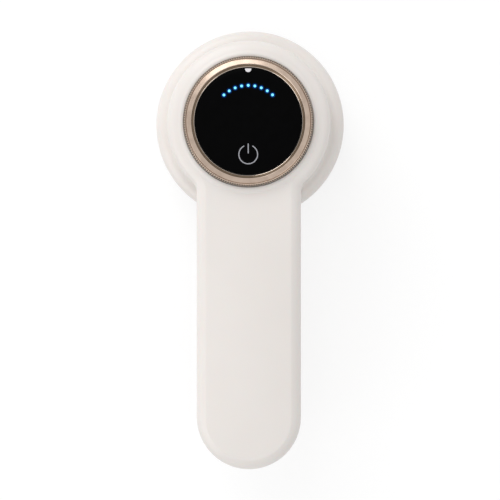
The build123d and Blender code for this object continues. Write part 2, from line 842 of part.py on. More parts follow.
with BuildPart() as motor_bushings:
    with BuildSketch(Plane.XY.offset(hub_top + axial_gap / 2)):
        Circle(shaft_radius + bushing_wall)
        Circle(shaft_radius + running_gap, mode=Mode.SUBTRACT)
    extrude(amount=frame_top + motor_wall - hub_top - axial_gap / 2)
    with BuildSketch(Plane.XY.offset(can_top)):
        Circle(shaft_radius + bushing_wall)
        Circle(shaft_radius + running_gap, mode=Mode.SUBTRACT)
    extrude(amount=end_cap_height)

# Dial: rose-gold ring on a plastic carrier whose gear is trapped under the shell
ring_z = case_top + dial_gap
web_z = crown_z - 1.6

with BuildPart() as dial_ring:
    with BuildSketch(Plane.XZ):
        with BuildLine():
            Polyline(
                (dial_radius, ring_z),
                (dial_radius, crown_z - 1.2),
                (dial_radius - 1.0, crown_z - 0.25),
                (dial_radius - 1.05, crown_z - 0.5),
                (dial_radius - 1.35, crown_z - 0.5),
                (dial_radius - 1.4, crown_z - 0.08),
                (dial_radius - 1.7, crown_z),
                (dial_radius - 3.0, crown_z),
                (dial_inner + 0.5, crown_z - 0.8),
                (dial_inner, crown_z - 0.9),
                (dial_inner, web_z),
                (carrier_outer + screw_gap, web_z),
                (carrier_outer + screw_gap, ring_z),
                close=True,
            )
        make_face()
    revolve(axis=Axis.Z)

with BuildPart() as dial_carrier:
    with BuildSketch(Plane.XY.offset(dial_gear_z)):
        add(gear_plan(dial_teeth, -90))
    extrude(amount=dial_gear_height)
    with BuildSketch(Plane.XY.offset(dial_gear_z)):
        Circle(carrier_outer)
    extrude(amount=web_z - dial_gear_z)
    with BuildSketch(Plane.XY.offset(dial_gear_z)):
        Circle(dial_inner)
    extrude(amount=web_z - dial_gear_z, mode=Mode.SUBTRACT)

# Display module: base cup, board, lights, shade and glass
encoder_place = (0, encoder_y)
encoder_pad = encoder_width + 2 * encoder_margin
cable_slot_y = encoder_margin - power_mark_offset - touch_radius + board_gap
lamp_row = (led_circle, led_count, 90 - led_half_angle, 2 * led_half_angle)
lamp_top = board_top + lamp_height

with BuildPart() as display_base:
    with BuildSketch(Plane.XY.offset(display_z)):
        Circle(display_flange_radius)
        with Locations(encoder_place):
            Rectangle(encoder_pad, encoder_pad)
    extrude(amount=display_flange)
    with BuildSketch(Plane.XY.offset(display_z)):
        Circle(display_outer)
    extrude(amount=glass_z - display_z)
    with BuildSketch(Plane.XY.offset(display_z + display_floor)):
        Circle(cup_inner)
    extrude(amount=glass_z - display_z - display_floor, mode=Mode.SUBTRACT)
    with BuildSketch(Plane.XY.offset(display_z + display_floor)):
        with PolarLocations(cup_inner - board_post_radius - board_thickness, 4, 45):
            Circle(board_post_radius)
    extrude(amount=board_z - display_z - display_floor)
    with BuildSketch(Plane.XY.offset(display_z)):
        with PolarLocations(display_boss_circle, 4, 45):
            Circle(small_screw_radius + screw_gap)
        with Locations(encoder_place):
            Circle(encoder_shaft_radius + running_gap)
        with Locations((cable_x, cable_slot_y)):
            Rectangle(cable_width + 2 * display_floor, 2 * display_floor)
    extrude(amount=display_flange, mode=Mode.SUBTRACT)

display_screw_points = [polar(display_boss_circle, 45 + 90 * turn) for turn in range(4)]
display_screws = screw_set(Plane.XY.offset(display_z), display_screw_points, small_screw_radius,
                           display_flange + display_screw_bite)

with BuildPart() as display_board:
    with BuildSketch(Plane.XY.offset(board_z)):
        Circle(cup_inner - board_gap)
    extrude(amount=board_thickness)

with BuildPart() as level_leds:
    with BuildSketch(Plane.XY.offset(board_top)):
        with PolarLocations(*lamp_row, endpoint=True):
            Rectangle(lamp_width, lamp_length)
    extrude(amount=lamp_height)

with BuildPart() as led_shade:
    with BuildSketch(Plane.XY.offset(board_top)):
        Circle(cup_inner - board_gap)
        with PolarLocations(*lamp_row, endpoint=True):
            Circle(led_dot_radius + screw_gap, mode=Mode.SUBTRACT)
        with Locations((0, -power_mark_offset)):
            Circle(touch_radius + board_gap, mode=Mode.SUBTRACT)
    extrude(amount=glass_z - board_top)

with BuildPart() as light_pipes:
    with BuildSketch(Plane.XY.offset(lamp_top + dial_play)):
        with PolarLocations(*lamp_row, endpoint=True):
            Circle(led_dot_radius)
    extrude(amount=glass_z - lamp_top - dial_play)

with BuildPart() as touch_contact:
    with BuildSketch(Plane.XY.offset(board_top)):
        with Locations((0, -power_mark_offset)):
            Circle(touch_radius)
    extrude(amount=glass_z - board_top)

with BuildPart() as display_glass:
    with BuildSketch(Plane.XY.offset(glass_z)):
        Circle(glass_radius)
    extrude(amount=glass_thickness)
    chamfer(display_glass.edges().group_by(Axis.Z)[-1], glass_chamfer)

encoder_socket_z = display_z - encoder_height + display_floor

with BuildPart() as encoder_body:
    with BuildSketch(Plane.XY.offset(display_z - encoder_height)):
        with Locations(encoder_place):
            Rectangle(encoder_width, encoder_width)
    extrude(amount=encoder_height)
    with BuildSketch(Plane.XY.offset(encoder_socket_z)):
        with Locations(encoder_place):
            Circle(encoder_shaft_radius + running_gap)
    extrude(amount=encoder_height, mode=Mode.SUBTRACT)

with BuildPart() as encoder_shaft:
    with BuildSketch(Plane.XY.offset(encoder_socket_z + dial_play)):
        with Locations(encoder_place):
            Circle(encoder_shaft_radius)
    extrude(amount=dial_gear_z + dial_gear_height - encoder_socket_z - dial_play)

with BuildPart() as encoder_gear:
    with BuildSketch(Plane(origin=(0, encoder_y, dial_gear_z))):
        add(gear_plan(encoder_teeth, 90 + 180 / encoder_teeth))
        Circle(encoder_shaft_radius, mode=Mode.SUBTRACT)
    extrude(amount=dial_gear_height)

# Battery with its welded strips and the foam that holds it down
with BuildPart() as battery_cell:
    with BuildSketch(Plane.XZ.offset(cell_front)):
        with Locations((0, case_middle)):
            Circle(cell_radius)
    extrude(amount=cell_length)
    fillet(battery_cell.edges(), cell_round)

strip_x = cell_radius + cell_gap + strip_thickness / 2
strip_edge = strip_x + strip_thickness / 2
plus_tab = 0.6 * cell_radius
minus_tab = 0.85 * cell_radius
minus_x = -0.25 * cell_radius

with BuildPart() as battery_strips:
    with BuildSketch(Plane.XZ.offset(cell_front - strip_thickness)):
        with Locations((strip_edge, case_middle)):
            Rectangle(strip_edge + cell_radius / 2, strip_width, align=(Align.MAX, Align.CENTER))
    extrude(amount=strip_thickness)
    with BuildSketch(Plane.XZ.offset(cell_front)):
        with Locations((strip_x, case_middle)):
            Rectangle(strip_thickness, strip_width)
    extrude(amount=cell_length)
    with BuildSketch(Plane.XZ.offset(cell_back)):
        with Locations((strip_edge, case_middle)):
            Rectangle(plus_tab, strip_width, align=(Align.MAX, Align.CENTER))
        with Locations((minus_x, case_middle)):
            Rectangle(minus_tab, strip_width)
    extrude(amount=strip_thickness)

with BuildPart() as battery_foam:
    for share in (0.3, 0.7):
        foam_y = cell_front + share * cell_length - foam_length / 2
        with BuildSketch(Plane.XZ.offset(foam_y)):
            with Locations((0, case_middle)):
                Rectangle(foam_width, case_under - case_middle, align=(Align.CENTER, Align.MIN))
                Circle(cell_radius + screw_gap, mode=Mode.SUBTRACT)
        extrude(amount=foam_length)

# Main board, what is soldered on it, and the charging socket
with BuildPart() as main_board:
    with BuildSketch(Plane.XY.offset(main_board_z)):
        with Locations((0, -(main_board_front + main_board_end) / 2)):
            Rectangle(2 * main_board_half_width, main_board_end - main_board_front)
    extrude(amount=main_board_thickness)
    chamfer(main_board.edges().filter_by(Axis.Z).group_by(Axis.Y)[0], main_board_chamfer)
    with BuildSketch(Plane.XY.offset(main_board_z)):
        with Locations(*board_posts):
            Circle(small_screw_radius + screw_gap)
    extrude(amount=main_board_thickness, mode=Mode.SUBTRACT)

board_screws = screw_set(Plane(origin=(0, 0, main_board_top), x_dir=(1, 0, 0), z_dir=(0, 0, -1)),
                         [(x, -y) for x, y in board_posts], small_screw_radius,
                         main_board_top - case_floor - board_screw_foot)

parts_room = socket_back - connector_back


def board_place(side, share):
    """Place on the board: a share of its half width from the middle and of the free length."""
    return (side * main_board_half_width, -(connector_back + share * parts_room))


with BuildPart() as board_components:
    with BuildSketch(Plane.XY.offset(main_board_top)):
        with Locations(board_place(0, 0.2)):
            Rectangle(chip_size, chip_size)
        with Locations(board_place(-0.46, 0.26), board_place(0.58, 0.42)):
            Rectangle(driver_width, driver_length)
    extrude(amount=chip_height)
    with BuildSketch(Plane.XY.offset(main_board_top)):
        with Locations(board_place(-0.54, 0.55)):
            RectangleRounded(coil_size, coil_size, chip_height)
    extrude(amount=coil_height)
    with BuildSketch(Plane.XY.offset(main_board_top)):
        with Locations(board_place(0.2, 0.6)):
            Circle(capacitor_radius)
    extrude(amount=capacitor_height)

with BuildPart() as board_connectors:
    with BuildSketch(Plane.XY.offset(main_board_top)):
        with Locations((-cable_x, connector_y), (0, connector_y), (cable_x, connector_y)):
            Rectangle(connector_width, connector_length)
    extrude(amount=connector_height)

socket_floor = socket_back + 3 * socket_wall

with BuildPart() as usb_socket:
    with BuildSketch(Plane.XZ.offset(socket_back)):
        with Locations((0, socket_z)):
            SlotOverall(socket_width, socket_height)
    extrude(amount=socket_length)
    with BuildSketch(Plane.XZ.offset(socket_floor)):
        with Locations((0, socket_z)):
            SlotOverall(socket_width - 2 * socket_wall, socket_height - 2 * socket_wall)
    extrude(amount=socket_length, mode=Mode.SUBTRACT)

with BuildPart() as usb_tongue:
    with BuildSketch(Plane.XZ.offset(socket_floor)):
        with Locations((0, socket_z)):
            Rectangle(tongue_width, tongue_thickness)
    extrude(amount=socket_front - socket_floor - 3 * socket_wall)

# Flat cable from the display, over the cell and down to its connector behind it
plug_z = main_board_top + connector_height / 2
cable_under = display_z - 2 * cable_bend
cable_over = case_middle + cell_radius + cable_bend
cable_rise_y = -(display_flange_radius + 2 * cable_bend)
cable_drop_y = -(cell_back + main_board_setback / 2)
cable_run = [
    (cable_slot_y, display_z + display_floor + cable_thickness),
    (cable_slot_y, cable_under),
    (cable_rise_y, cable_under),
    (cable_rise_y - cable_bend, cable_over),
    (cable_drop_y, cable_over),
    (cable_drop_y, plug_z),
    (-connector_front, plug_z),
]

with BuildPart() as display_cable:
    with BuildSketch(Plane.YZ.offset(cable_x - cable_width / 2)):
        with BuildLine():
            FilletPolyline(*cable_run, radius=cable_bend)
        trace(line_width=cable_thickness)
    extrude(amount=cable_width)

# Leads: the motor's pair beside the cell, the cell's pair straight to the middle connector
lead_side_x = -(cell_radius + 2 * lead_radius + cell_gap)
lead_top_z = motor_top - lead_radius - 2 * axial_gap
motor_lead_runs = []
for drop, terminal_x in ((0, -0.28 * motor_radius), (lead_pitch, -0.47 * motor_radius)):
    high_z = lead_top_z - drop
    low_z = plug_z + lead_pitch / 2 - drop
    motor_lead_runs.append(lead(
        [
            (terminal_x, -motor_radius - running_gap, high_z),
            (terminal_x, -1.5 * motor_radius, high_z),
            (lead_side_x, -cell_front, high_z),
            (lead_side_x, 0.25 * cell_length - cell_back, high_z),
            (lead_side_x, 0.05 * cell_length - cell_back, low_z),
            (lead_side_x, -connector_front, low_z),
        ],
        [8, 14, 9, 6],
    ))

with BuildPart() as motor_leads:
    for run in motor_lead_runs:
        add(run)

tab_face = cell_back + strip_thickness
tab_middle = (tab_face + connector_front) / 2
battery_lead_runs = []
for tab_x, plug_x in ((minus_x, -lead_pitch / 2), (strip_edge - plus_tab / 2, lead_pitch / 2)):
    battery_lead_runs.append(lead(
        [
            (tab_x, -tab_face, case_middle),
            (tab_x, -tab_middle, case_middle),
            (plug_x, -tab_middle, plug_z),
            (plug_x, -connector_front, plug_z),
        ],
        [lead_pitch / 2, lead_pitch / 2],
    ))

with BuildPart() as battery_leads:
    for run in battery_lead_runs:
        add(run)

os.makedirs("parts", exist_ok=True)
for name, piece in (
    ("upper_shell", upper_shell.part),
    ("lower_shell", lower_shell.part),
    ("screw_plugs", screw_plugs.part),
    ("case_screws", case_screws),
    ("guard_ring", guard_ring.part),
    ("dust_seal", dust_seal.part),
    ("massage_pad", massage_pad.part),
    ("pad_plate", pad_plate.part),
    ("drive_plate", drive_plate.part),
    ("guide_pins", guide_pins.part),
    ("bearing_inner", bearing_inner.part),
    ("bearing_outer", bearing_outer.part),
    ("bearing_balls", bearing_balls.part),
    ("eccentric_hub", eccentric_hub.part),
    ("lock_screw", lock_screw.part),
    ("counterweight", counterweight.part),
    ("drive_frame", drive_frame.part),
    ("frame_screws", frame_screws),
    ("motor_screws", motor_screws.part),
    ("motor_can", motor_can.part),
    ("motor_magnets", motor_magnets.part),
    ("motor_shaft", motor_shaft.part),
    ("rotor_core", rotor_core.part),
    ("windings", windings.part),
    ("commutator", commutator.part),
    ("motor_end_cap", motor_end_cap.part),
    ("motor_brushes", motor_brushes.part),
    ("motor_bushings", motor_bushings.part),
    ("dial_ring", dial_ring.part),
    ("dial_carrier", dial_carrier.part),
    ("display_base", display_base.part),
    ("display_screws", display_screws),
    ("display_board", display_board.part),
    ("level_leds", level_leds.part),
    ("led_shade", led_shade.part),
    ("light_pipes", light_pipes.part),
    ("touch_contact", touch_contact.part),
    ("display_glass", display_glass.part),
    ("encoder_body", encoder_body.part),
    ("encoder_shaft", encoder_shaft.part),
    ("encoder_gear", encoder_gear.part),
    ("battery_cell", battery_cell.part),
    ("battery_strips", battery_strips.part),
    ("battery_foam", battery_foam.part),
    ("main_board", main_board.part),
    ("board_screws", board_screws),
    ("board_components", board_components.part),
    ("board_connectors", board_connectors.part),
    ("usb_socket", usb_socket.part),
    ("usb_tongue", usb_tongue.part),
    ("display_cable", display_cable.part),
    ("motor_leads", motor_leads.part),
    ("battery_leads", battery_leads.part),
):
    piece.label = name
    export_step(piece, "parts/" + name + ".step")
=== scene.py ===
import math

import bmesh
import bpy
import numpy as np
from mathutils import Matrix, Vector


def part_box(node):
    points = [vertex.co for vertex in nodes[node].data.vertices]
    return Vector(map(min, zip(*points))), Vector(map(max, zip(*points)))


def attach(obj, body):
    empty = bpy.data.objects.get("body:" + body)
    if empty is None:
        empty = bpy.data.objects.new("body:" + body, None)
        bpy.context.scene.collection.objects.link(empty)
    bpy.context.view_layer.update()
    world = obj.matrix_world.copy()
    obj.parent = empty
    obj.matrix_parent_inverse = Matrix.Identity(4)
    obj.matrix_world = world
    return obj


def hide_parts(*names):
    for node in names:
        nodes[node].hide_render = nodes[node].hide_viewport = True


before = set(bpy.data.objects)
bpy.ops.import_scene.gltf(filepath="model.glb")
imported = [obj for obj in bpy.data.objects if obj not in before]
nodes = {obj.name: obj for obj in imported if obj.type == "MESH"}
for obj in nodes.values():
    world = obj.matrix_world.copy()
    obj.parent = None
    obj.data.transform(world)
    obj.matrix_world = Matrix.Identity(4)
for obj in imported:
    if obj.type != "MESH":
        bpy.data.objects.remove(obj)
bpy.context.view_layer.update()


# Motor: a flat brushed motor. Its can is drawn zinc-plated steel with two ferrite arcs glued
# in, its rotor is stacked laminations wound with enamelled copper, and its end cap is black
# nylon that holds the carbon brushes and one of the two bronze bushings.
def node(tree, kind, inputs=(), **options):
    """A shader node with its options set, and each input given a value or another's output."""
    made = tree.nodes.new("ShaderNode" + kind)
    for option, value in options.items():
        setattr(made, option, value)
    for place, value in dict(inputs).items():
        if isinstance(value, bpy.types.NodeSocket):
            tree.links.new(value, made.inputs[place])
        else:
            made.inputs[place].default_value = value
    return made


def material(name, colour, roughness, **sockets):
    """Principled material with plain values on its own sockets."""
    made = bpy.data.materials.new(name)
    made.use_nodes = True
    shader = made.node_tree.nodes["Principled BSDF"]
    shader.inputs["Base Color"].default_value = (*colour, 1)
    shader.inputs["Roughness"].default_value = roughness
    for socket, value in sockets.items():
        shader.inputs[socket.replace("_", " ")].default_value = value
    return made


def feed(made, **sockets):
    """Links other nodes' outputs to the named sockets of a material's shader."""
    shader = made.node_tree.nodes["Principled BSDF"]
    for socket, output in sockets.items():
        made.node_tree.links.new(output, shader.inputs[socket.replace("_", " ")])


def place_of(tree, stretch=(1, 1, 1)):
    """Object coordinates in metres, stretched by a factor along each axis."""
    spot = node(tree, "TexCoord").outputs["Object"]
    return node(tree, "Mapping", {"Vector": spot, "Scale": stretch}).outputs["Vector"]


def span(tree, value, from_low, from_high, to_low=0.0, to_high=1.0):
    """One range of values carried to another in a straight line, and held at both ends."""
    return node(tree, "MapRange", {"Value": value, "From Min": from_low, "From Max": from_high,
                                   "To Min": to_low, "To Max": to_high}).outputs["Result"]


def blend(tree, share, one, other):
    """The colour that lies a share of the way from one to the other."""
    return node(tree, "Mix", {0: share, 6: one, 7: other}, data_type="RGBA").outputs[2]


def drift(made, other, size, stretch=(1, 1, 1), sharp=0.3):
    """Base colour that wanders to a second tone by a noise of that cell size in millimetres.

    sharp is the span of the noise, about its middle, over which one tone gives way to the other.
    """
    tree = made.node_tree
    tone = tree.nodes["Principled BSDF"].inputs["Base Color"].default_value[:]
    noise = node(tree, "TexNoise", {"Vector": place_of(tree, stretch), "Scale": 1000 / size,
                                    "Detail": 4.0}).outputs["Fac"]
    share = span(tree, noise, 0.5 - sharp / 2, 0.5 + sharp / 2)
    feed(made, Base_Color=blend(tree, share, tone, (*other, 1)))
    return made


def grain(made, size, depth, stretch=(1, 1, 1), polish=0.06):
    """Fine relief: a noise of that size and depth in millimetres, which also nudges the gloss."""
    tree = made.node_tree
    level = tree.nodes["Principled BSDF"].inputs["Roughness"].default_value
    noise = node(tree, "TexNoise", {"Vector": place_of(tree, stretch), "Scale": 1000 / size,
                                    "Detail": 3.0}).outputs["Fac"]
    relief = node(tree, "Bump", {"Height": noise, "Distance": depth * 0.001, "Strength": 1.0})
    feed(made, Normal=relief.outputs["Normal"],
         Roughness=span(tree, noise, 0, 1, level - polish, level + polish))
    return made


def dress(made, *names):
    """Gives CAD nodes that stay in view a finish."""
    for name in names:
        slots = nodes[name].material_slots
        if not slots:
            nodes[name].data.materials.append(made)
        for slot in slots:
            slot.material = made


zinc_plate = material("zinc_plated_can", (0.58, 0.59, 0.60), 0.32, Metallic=1.0)
dress(grain(drift(zinc_plate, (0.46, 0.47, 0.50), 3.0), 0.25, 0.01, (1, 1, 0.1)), "motor_can")

ferrite = material("ferrite_arcs", (0.035, 0.034, 0.036), 0.72)
dress(grain(drift(ferrite, (0.075, 0.073, 0.072), 0.6), 0.18, 0.03), "motor_magnets")

laminations = material("rotor_laminations", (0.34, 0.33, 0.33), 0.42, Metallic=1.0)
stacked = (0.02, 0.02, 1)
dress(grain(drift(laminations, (0.12, 0.12, 0.13), 0.35, stacked), 0.3, 0.04, stacked),
      "rotor_core")

copper = material("enamelled_copper", (0.62, 0.24, 0.10), 0.3, Metallic=1.0, Coat_Weight=0.5)
wound = (1, 0.05, 1)
dress(grain(drift(copper, (0.42, 0.13, 0.05), 0.4, wound), 0.3, 0.06, wound),
      "windings", "commutator")

end_cap_nylon = material("end_cap_nylon", (0.018, 0.018, 0.019), 0.48)
dress(grain(drift(end_cap_nylon, (0.032, 0.031, 0.031), 2.0), 0.2, 0.015), "motor_end_cap")

carbon = material("brush_carbon", (0.02, 0.02, 0.021), 0.6)
dress(grain(drift(carbon, (0.05, 0.045, 0.04), 0.3), 0.12, 0.02), "motor_brushes")

bronze = material("sintered_bronze", (0.45, 0.29, 0.13), 0.42, Metallic=1.0)
dress(grain(drift(bronze, (0.30, 0.18, 0.08), 0.5), 0.14, 0.02), "motor_bushings")

ground_steel = material("ground_steel", (0.62, 0.62, 0.63), 0.16, Metallic=1.0)
dress(grain(drift(ground_steel, (0.5, 0.5, 0.52), 1.5, (1, 1, 6)), 0.2, 0.004, (1, 1, 8)),
      "motor_shaft", "guide_pins")

# Orbit drive: the die-cast hub on the motor's shaft carries a crank pin 2 mm off the axis. A
# ball bearing on it swings the nylon drive plate in a small circle, three steel pins in the
# drive frame keep the plate from turning, and the cast weight balances it.
die_cast = material("die_cast_hub", (0.40, 0.40, 0.41), 0.38, Metallic=1.0)
dress(grain(drift(die_cast, (0.30, 0.30, 0.32), 2.5), 0.35, 0.02),
      "eccentric_hub", "counterweight")

bearing_steel = material("bearing_steel", (0.70, 0.70, 0.71), 0.12, Metallic=1.0)
dress(grain(drift(bearing_steel, (0.6, 0.6, 0.62), 1.2), 0.3, 0.003, polish=0.03),
      "bearing_inner", "bearing_outer", "bearing_balls")

drive_nylon = material("drive_nylon", (0.72, 0.71, 0.68), 0.42, Subsurface_Weight=0.1,
                       Subsurface_Scale=0.002)
dress(grain(drift(drive_nylon, (0.64, 0.63, 0.60), 6.0), 0.3, 0.012), "drive_plate", "pad_plate")

frame_aluminium = material("frame_aluminium", (0.60, 0.61, 0.62), 0.36, Metallic=1.0)
dress(grain(drift(frame_aluminium, (0.50, 0.51, 0.52), 4.0), 0.4, 0.015), "drive_frame")

screw_zinc = material("zinc_plated_screws", (0.55, 0.56, 0.58), 0.28, Metallic=1.0)
dress(grain(drift(screw_zinc, (0.44, 0.46, 0.50), 1.0), 0.15, 0.008),
      "motor_screws", "frame_screws", "display_screws", "board_screws", "case_screws")

black_oxide = material("black_oxide_screw", (0.03, 0.03, 0.032), 0.35, Metallic=0.6)
dress(grain(drift(black_oxide, (0.06, 0.06, 0.062), 0.8), 0.15, 0.01), "lock_screw")


# Guard ring: the white hoop that snaps into the bottom of the skirt round the moving pad. It
# is moulded ABS like the case, with a short spigot above and a shelf that holds the seal.
def eased(corners, reach, closed=True, steps=6):
    """Profile whose corners each give way to a parabola that starts and ends reach away."""
    corners = np.array(corners, float)
    reach = np.broadcast_to(np.asarray(reach, float), len(corners))[:, None]
    to_last = np.roll(corners, 1, 0) - corners
    to_next = np.roll(corners, -1, 0) - corners
    last_length = np.linalg.norm(to_last, axis=1, keepdims=True)
    next_length = np.linalg.norm(to_next, axis=1, keepdims=True)
    start = corners + to_last * np.minimum(reach / last_length, 0.48)
    end = corners + to_next * np.minimum(reach / next_length, 0.48)
    t = np.linspace(0, 1, steps)[None, :, None]
    bends = ((1 - t) ** 2 * start[:, None] + 2 * t * (1 - t) * corners[:, None]
             + t ** 2 * end[:, None])
    if closed:
        line = bends.reshape(-1, 2)
        return np.vstack([line, line[:1]])
    return np.vstack([corners[:1], bends[1:-1].reshape(-1, 2), corners[-1:]])


def aims(turns):
    """Unit arrows in a plane at the given angles: the cosine and the sine."""
    return np.stack([np.cos(turns), np.sin(turns)], -1)


def carry(plan, height, flat=(0, 1)):
    """Points from two flat coordinates and the height over them, in x, y, z order."""
    grid = np.empty(plan.shape[:-1] + (3,))
    grid[..., flat[0]] = plan[..., 0]
    grid[..., flat[1]] = plan[..., 1]
    grid[..., 3 - flat[0] - flat[1]] = height
    return grid


def lathe(profile, turns, centre=(0, 0)):
    """Grid from a profile of radii and heights turned about a vertical axis."""
    profile = np.array(profile, float)
    plan = np.array(centre) + profile[:, :1] * aims(turns)[:, None]
    return carry(plan, profile[:, 1])


def round_turns(count, start=0.0):
    """Angles of a full turn, without the last, which is the first again."""
    return start + np.linspace(0, 2 * np.pi, count, endpoint=False)


def piece(name, made, body, sheets, replaces=(), wall=0.0, crease=32):
    """A finished piece from grids of points in millimetres that ride on a CAD body.

    A sheet is a grid, whether its first direction closes on itself, and the windows, as index
    ranges, whose faces are left out. Points that meet are merged and faces turned outwards.
    wall thickens the piece inwards, and edges bent by more than crease degrees stay sharp.
    """
    points, faces, first = [], [], 0
    for grid, closed, windows in sheets:
        count, across = grid.shape[:2]
        index = first + np.arange(count * across).reshape(count, across)
        if closed:
            index = np.vstack([index, index[:1]])
        keep = np.ones((len(index) - 1, across - 1), bool)
        for i_low, i_high, j_low, j_high in windows:
            keep[i_low:i_high, j_low:j_high] = False
        quads = np.stack([index[:-1, :-1], index[1:, :-1], index[1:, 1:], index[:-1, 1:]], -1)
        points.append(grid.reshape(-1, 3))
        faces.append(quads[keep])
        first += count * across
    mesh = bpy.data.meshes.new(name)
    mesh.from_pydata(np.vstack(points) * 0.001, [], np.vstack(faces))
    work = bmesh.new()
    work.from_mesh(mesh)
    bmesh.ops.remove_doubles(work, verts=work.verts, dist=2e-6)
    bmesh.ops.delete(work, geom=[v for v in work.verts if not v.link_faces], context="VERTS")
    bmesh.ops.recalc_face_normals(work, faces=work.faces)
    middle = sum((v.co for v in work.verts), Vector()) / len(work.verts)
    outward = sum(f.calc_area() * f.normal.dot(f.calc_center_median() - middle)
                  for f in work.faces)
    if outward < 0:
        bmesh.ops.reverse_faces(work, faces=work.faces)
    work.to_mesh(mesh)
    work.free()
    made_piece = bpy.data.objects.new(name, mesh)
    bpy.context.scene.collection.objects.link(made_piece)
    if wall:
        thick = made_piece.modifiers.new("wall", "SOLIDIFY")
        thick.thickness = wall * 0.001
        thick.offset = -1
        thick.use_even_offset = True
        view = bpy.context.evaluated_depsgraph_get()
        made_piece.data = bpy.data.meshes.new_from_object(made_piece.evaluated_get(view))
        made_piece.modifiers.clear()
    flats = made_piece.data.polygons
    flats.foreach_set("use_smooth", np.ones(len(flats), bool))
    made_piece.data.set_sharp_from_angle(angle=math.radians(crease))
    made_piece.data.materials.clear()
    made_piece.data.materials.append(made)
    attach(made_piece, body)
    if replaces:
        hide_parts(*replaces)
    return made_piece


shell_tone = (0.80, 0.760, 0.729)
shell_shade = (0.775, 0.733, 0.699)
ivory_gloss = material("ivory_gloss_abs", shell_tone, 0.36, Specular_IOR_Level=0.36,
                       Subsurface_Weight=0.06, Subsurface_Scale=0.0015, Coat_Weight=0.08,
                       Coat_Roughness=0.16)
grain(drift(ivory_gloss, shell_shade, 38.0, sharp=0.5), 1.4, 0.004, polish=0.03)

guard_profile = eased(
    [(41.0, 9.5), (42.0, 15.9), (41.9, 16.0), (39.65, 16.0), (39.65, 18.0), (38.15, 18.0),
     (38.15, 15.3), (36.5, 15.3), (36.5, 14.3), (39.2, 14.3), (39.2, 9.5)],
    [0.9, 0.1, 0.05, 0.1, 0.3, 0.2, 0.1, 0.2, 0.2, 0.3, 0.7],
)
piece("guard_hoop", ivory_gloss, "root",
      [(lathe(guard_profile, round_turns(256)), True, ())], replaces=["guard_ring"])

# Dust seal: a thin rubber washer on the guard ring's shelf, moulded with two low waves so it
# can give. It keeps dust and massage oil out of the drive.
seal_rubber = material("seal_rubber", (0.022, 0.022, 0.023), 0.62)
grain(drift(seal_rubber, (0.04, 0.039, 0.038), 2.0), 0.2, 0.015)

seal_inner, seal_outer, seal_z = 28.6, 38.05, 15.62
seal_rise, seal_half_thick = 0.14, 0.18
seal_across = np.linspace(seal_inner, seal_outer, 60)
seal_phase = (seal_across - seal_inner) / (seal_outer - seal_inner) * 4 * np.pi
seal_middle = seal_z + seal_rise * np.sin(seal_phase)
seal_top = np.column_stack([seal_across, seal_middle + seal_half_thick])
seal_foot = np.column_stack([seal_across, seal_middle - seal_half_thick])
seal_profile = np.vstack([seal_top, seal_foot[::-1], seal_top[:1]])
piece("dust_seal_washer", seal_rubber, "root",
      [(lathe(seal_profile, round_turns(160)), True, ())], replaces=["dust_seal"])


# Massage pad: soft white silicone moulded over a hard plate, with one broad nodule in the
# middle and eight round it. It snaps onto the drive plate and pulls off for washing.
def window(grid, i_low, i_high, j_low, j_high):
    """Points once round the edge of a window of whole cells in a grid."""
    return np.concatenate([
        grid[i_low:i_high, j_low], grid[i_high, j_low:j_high],
        grid[i_high:i_low:-1, j_high], grid[i_low, j_high:j_low:-1],
    ])


def fan(edge, centre, reach, level, flat=(0, 1), rows=5):
    """Rows from a window's edge in to a rim about a centre, each point moved straight there.

    reach is the rim's distance, or gives it for an angle, and level gives the height over the
    flat axes. The rows come back with the angles, so that the rim can be carried on.
    """
    spread = edge[:, flat] - centre
    turns = np.arctan2(spread[:, 1], spread[:, 0])
    distance = reach(turns) if callable(reach) else np.full(turns.shape, reach)
    rim = centre + distance[:, None] * aims(turns)
    share = np.linspace(0, 1, rows)[None, :, None]
    plan = edge[:, None, flat] * (1 - share) + rim[:, None] * share
    return carry(plan, level(plan[..., 0], plan[..., 1]), flat), turns


def dome(radius, foot, count, power=0.75):
    """Nodule from its tip at zero height to its foot: a circle's quarter drawn square by power."""
    a = np.linspace(0, np.pi / 2, count)
    return np.column_stack([radius * np.sin(a) ** power, foot * (1 - np.cos(a) ** power)])


def foot_round(radius, foot, reach, count=5):
    """Quarter round that turns a nodule's flank out into the pad's face."""
    a = np.linspace(0, np.pi / 2, count)[1:]
    return np.column_stack([radius + reach * (1 - np.cos(a)), foot + reach * np.sin(a)])


pad_centre, pad_radius, pad_edge_round = (0.0, -2.0), 36.5, 1.6
pad_face_z = 8.0
pad_flat_radius = pad_radius - pad_edge_round
broad_radius, broad_foot_round = 9.5, 0.5
nodule_count, nodule_circle, nodule_radius, nodule_foot_round = 8, 28.5, 6.2, 0.4
nodule_foot_z = pad_face_z - nodule_foot_round


def pad_face(x, y):
    """Height of the pad's lower face: flat, and rounded up within its edge."""
    past = np.hypot(x - pad_centre[0], y - pad_centre[1]) - pad_flat_radius
    past = np.clip(past, 0, pad_edge_round)
    return pad_face_z + pad_edge_round - np.sqrt(pad_edge_round ** 2 - past ** 2)


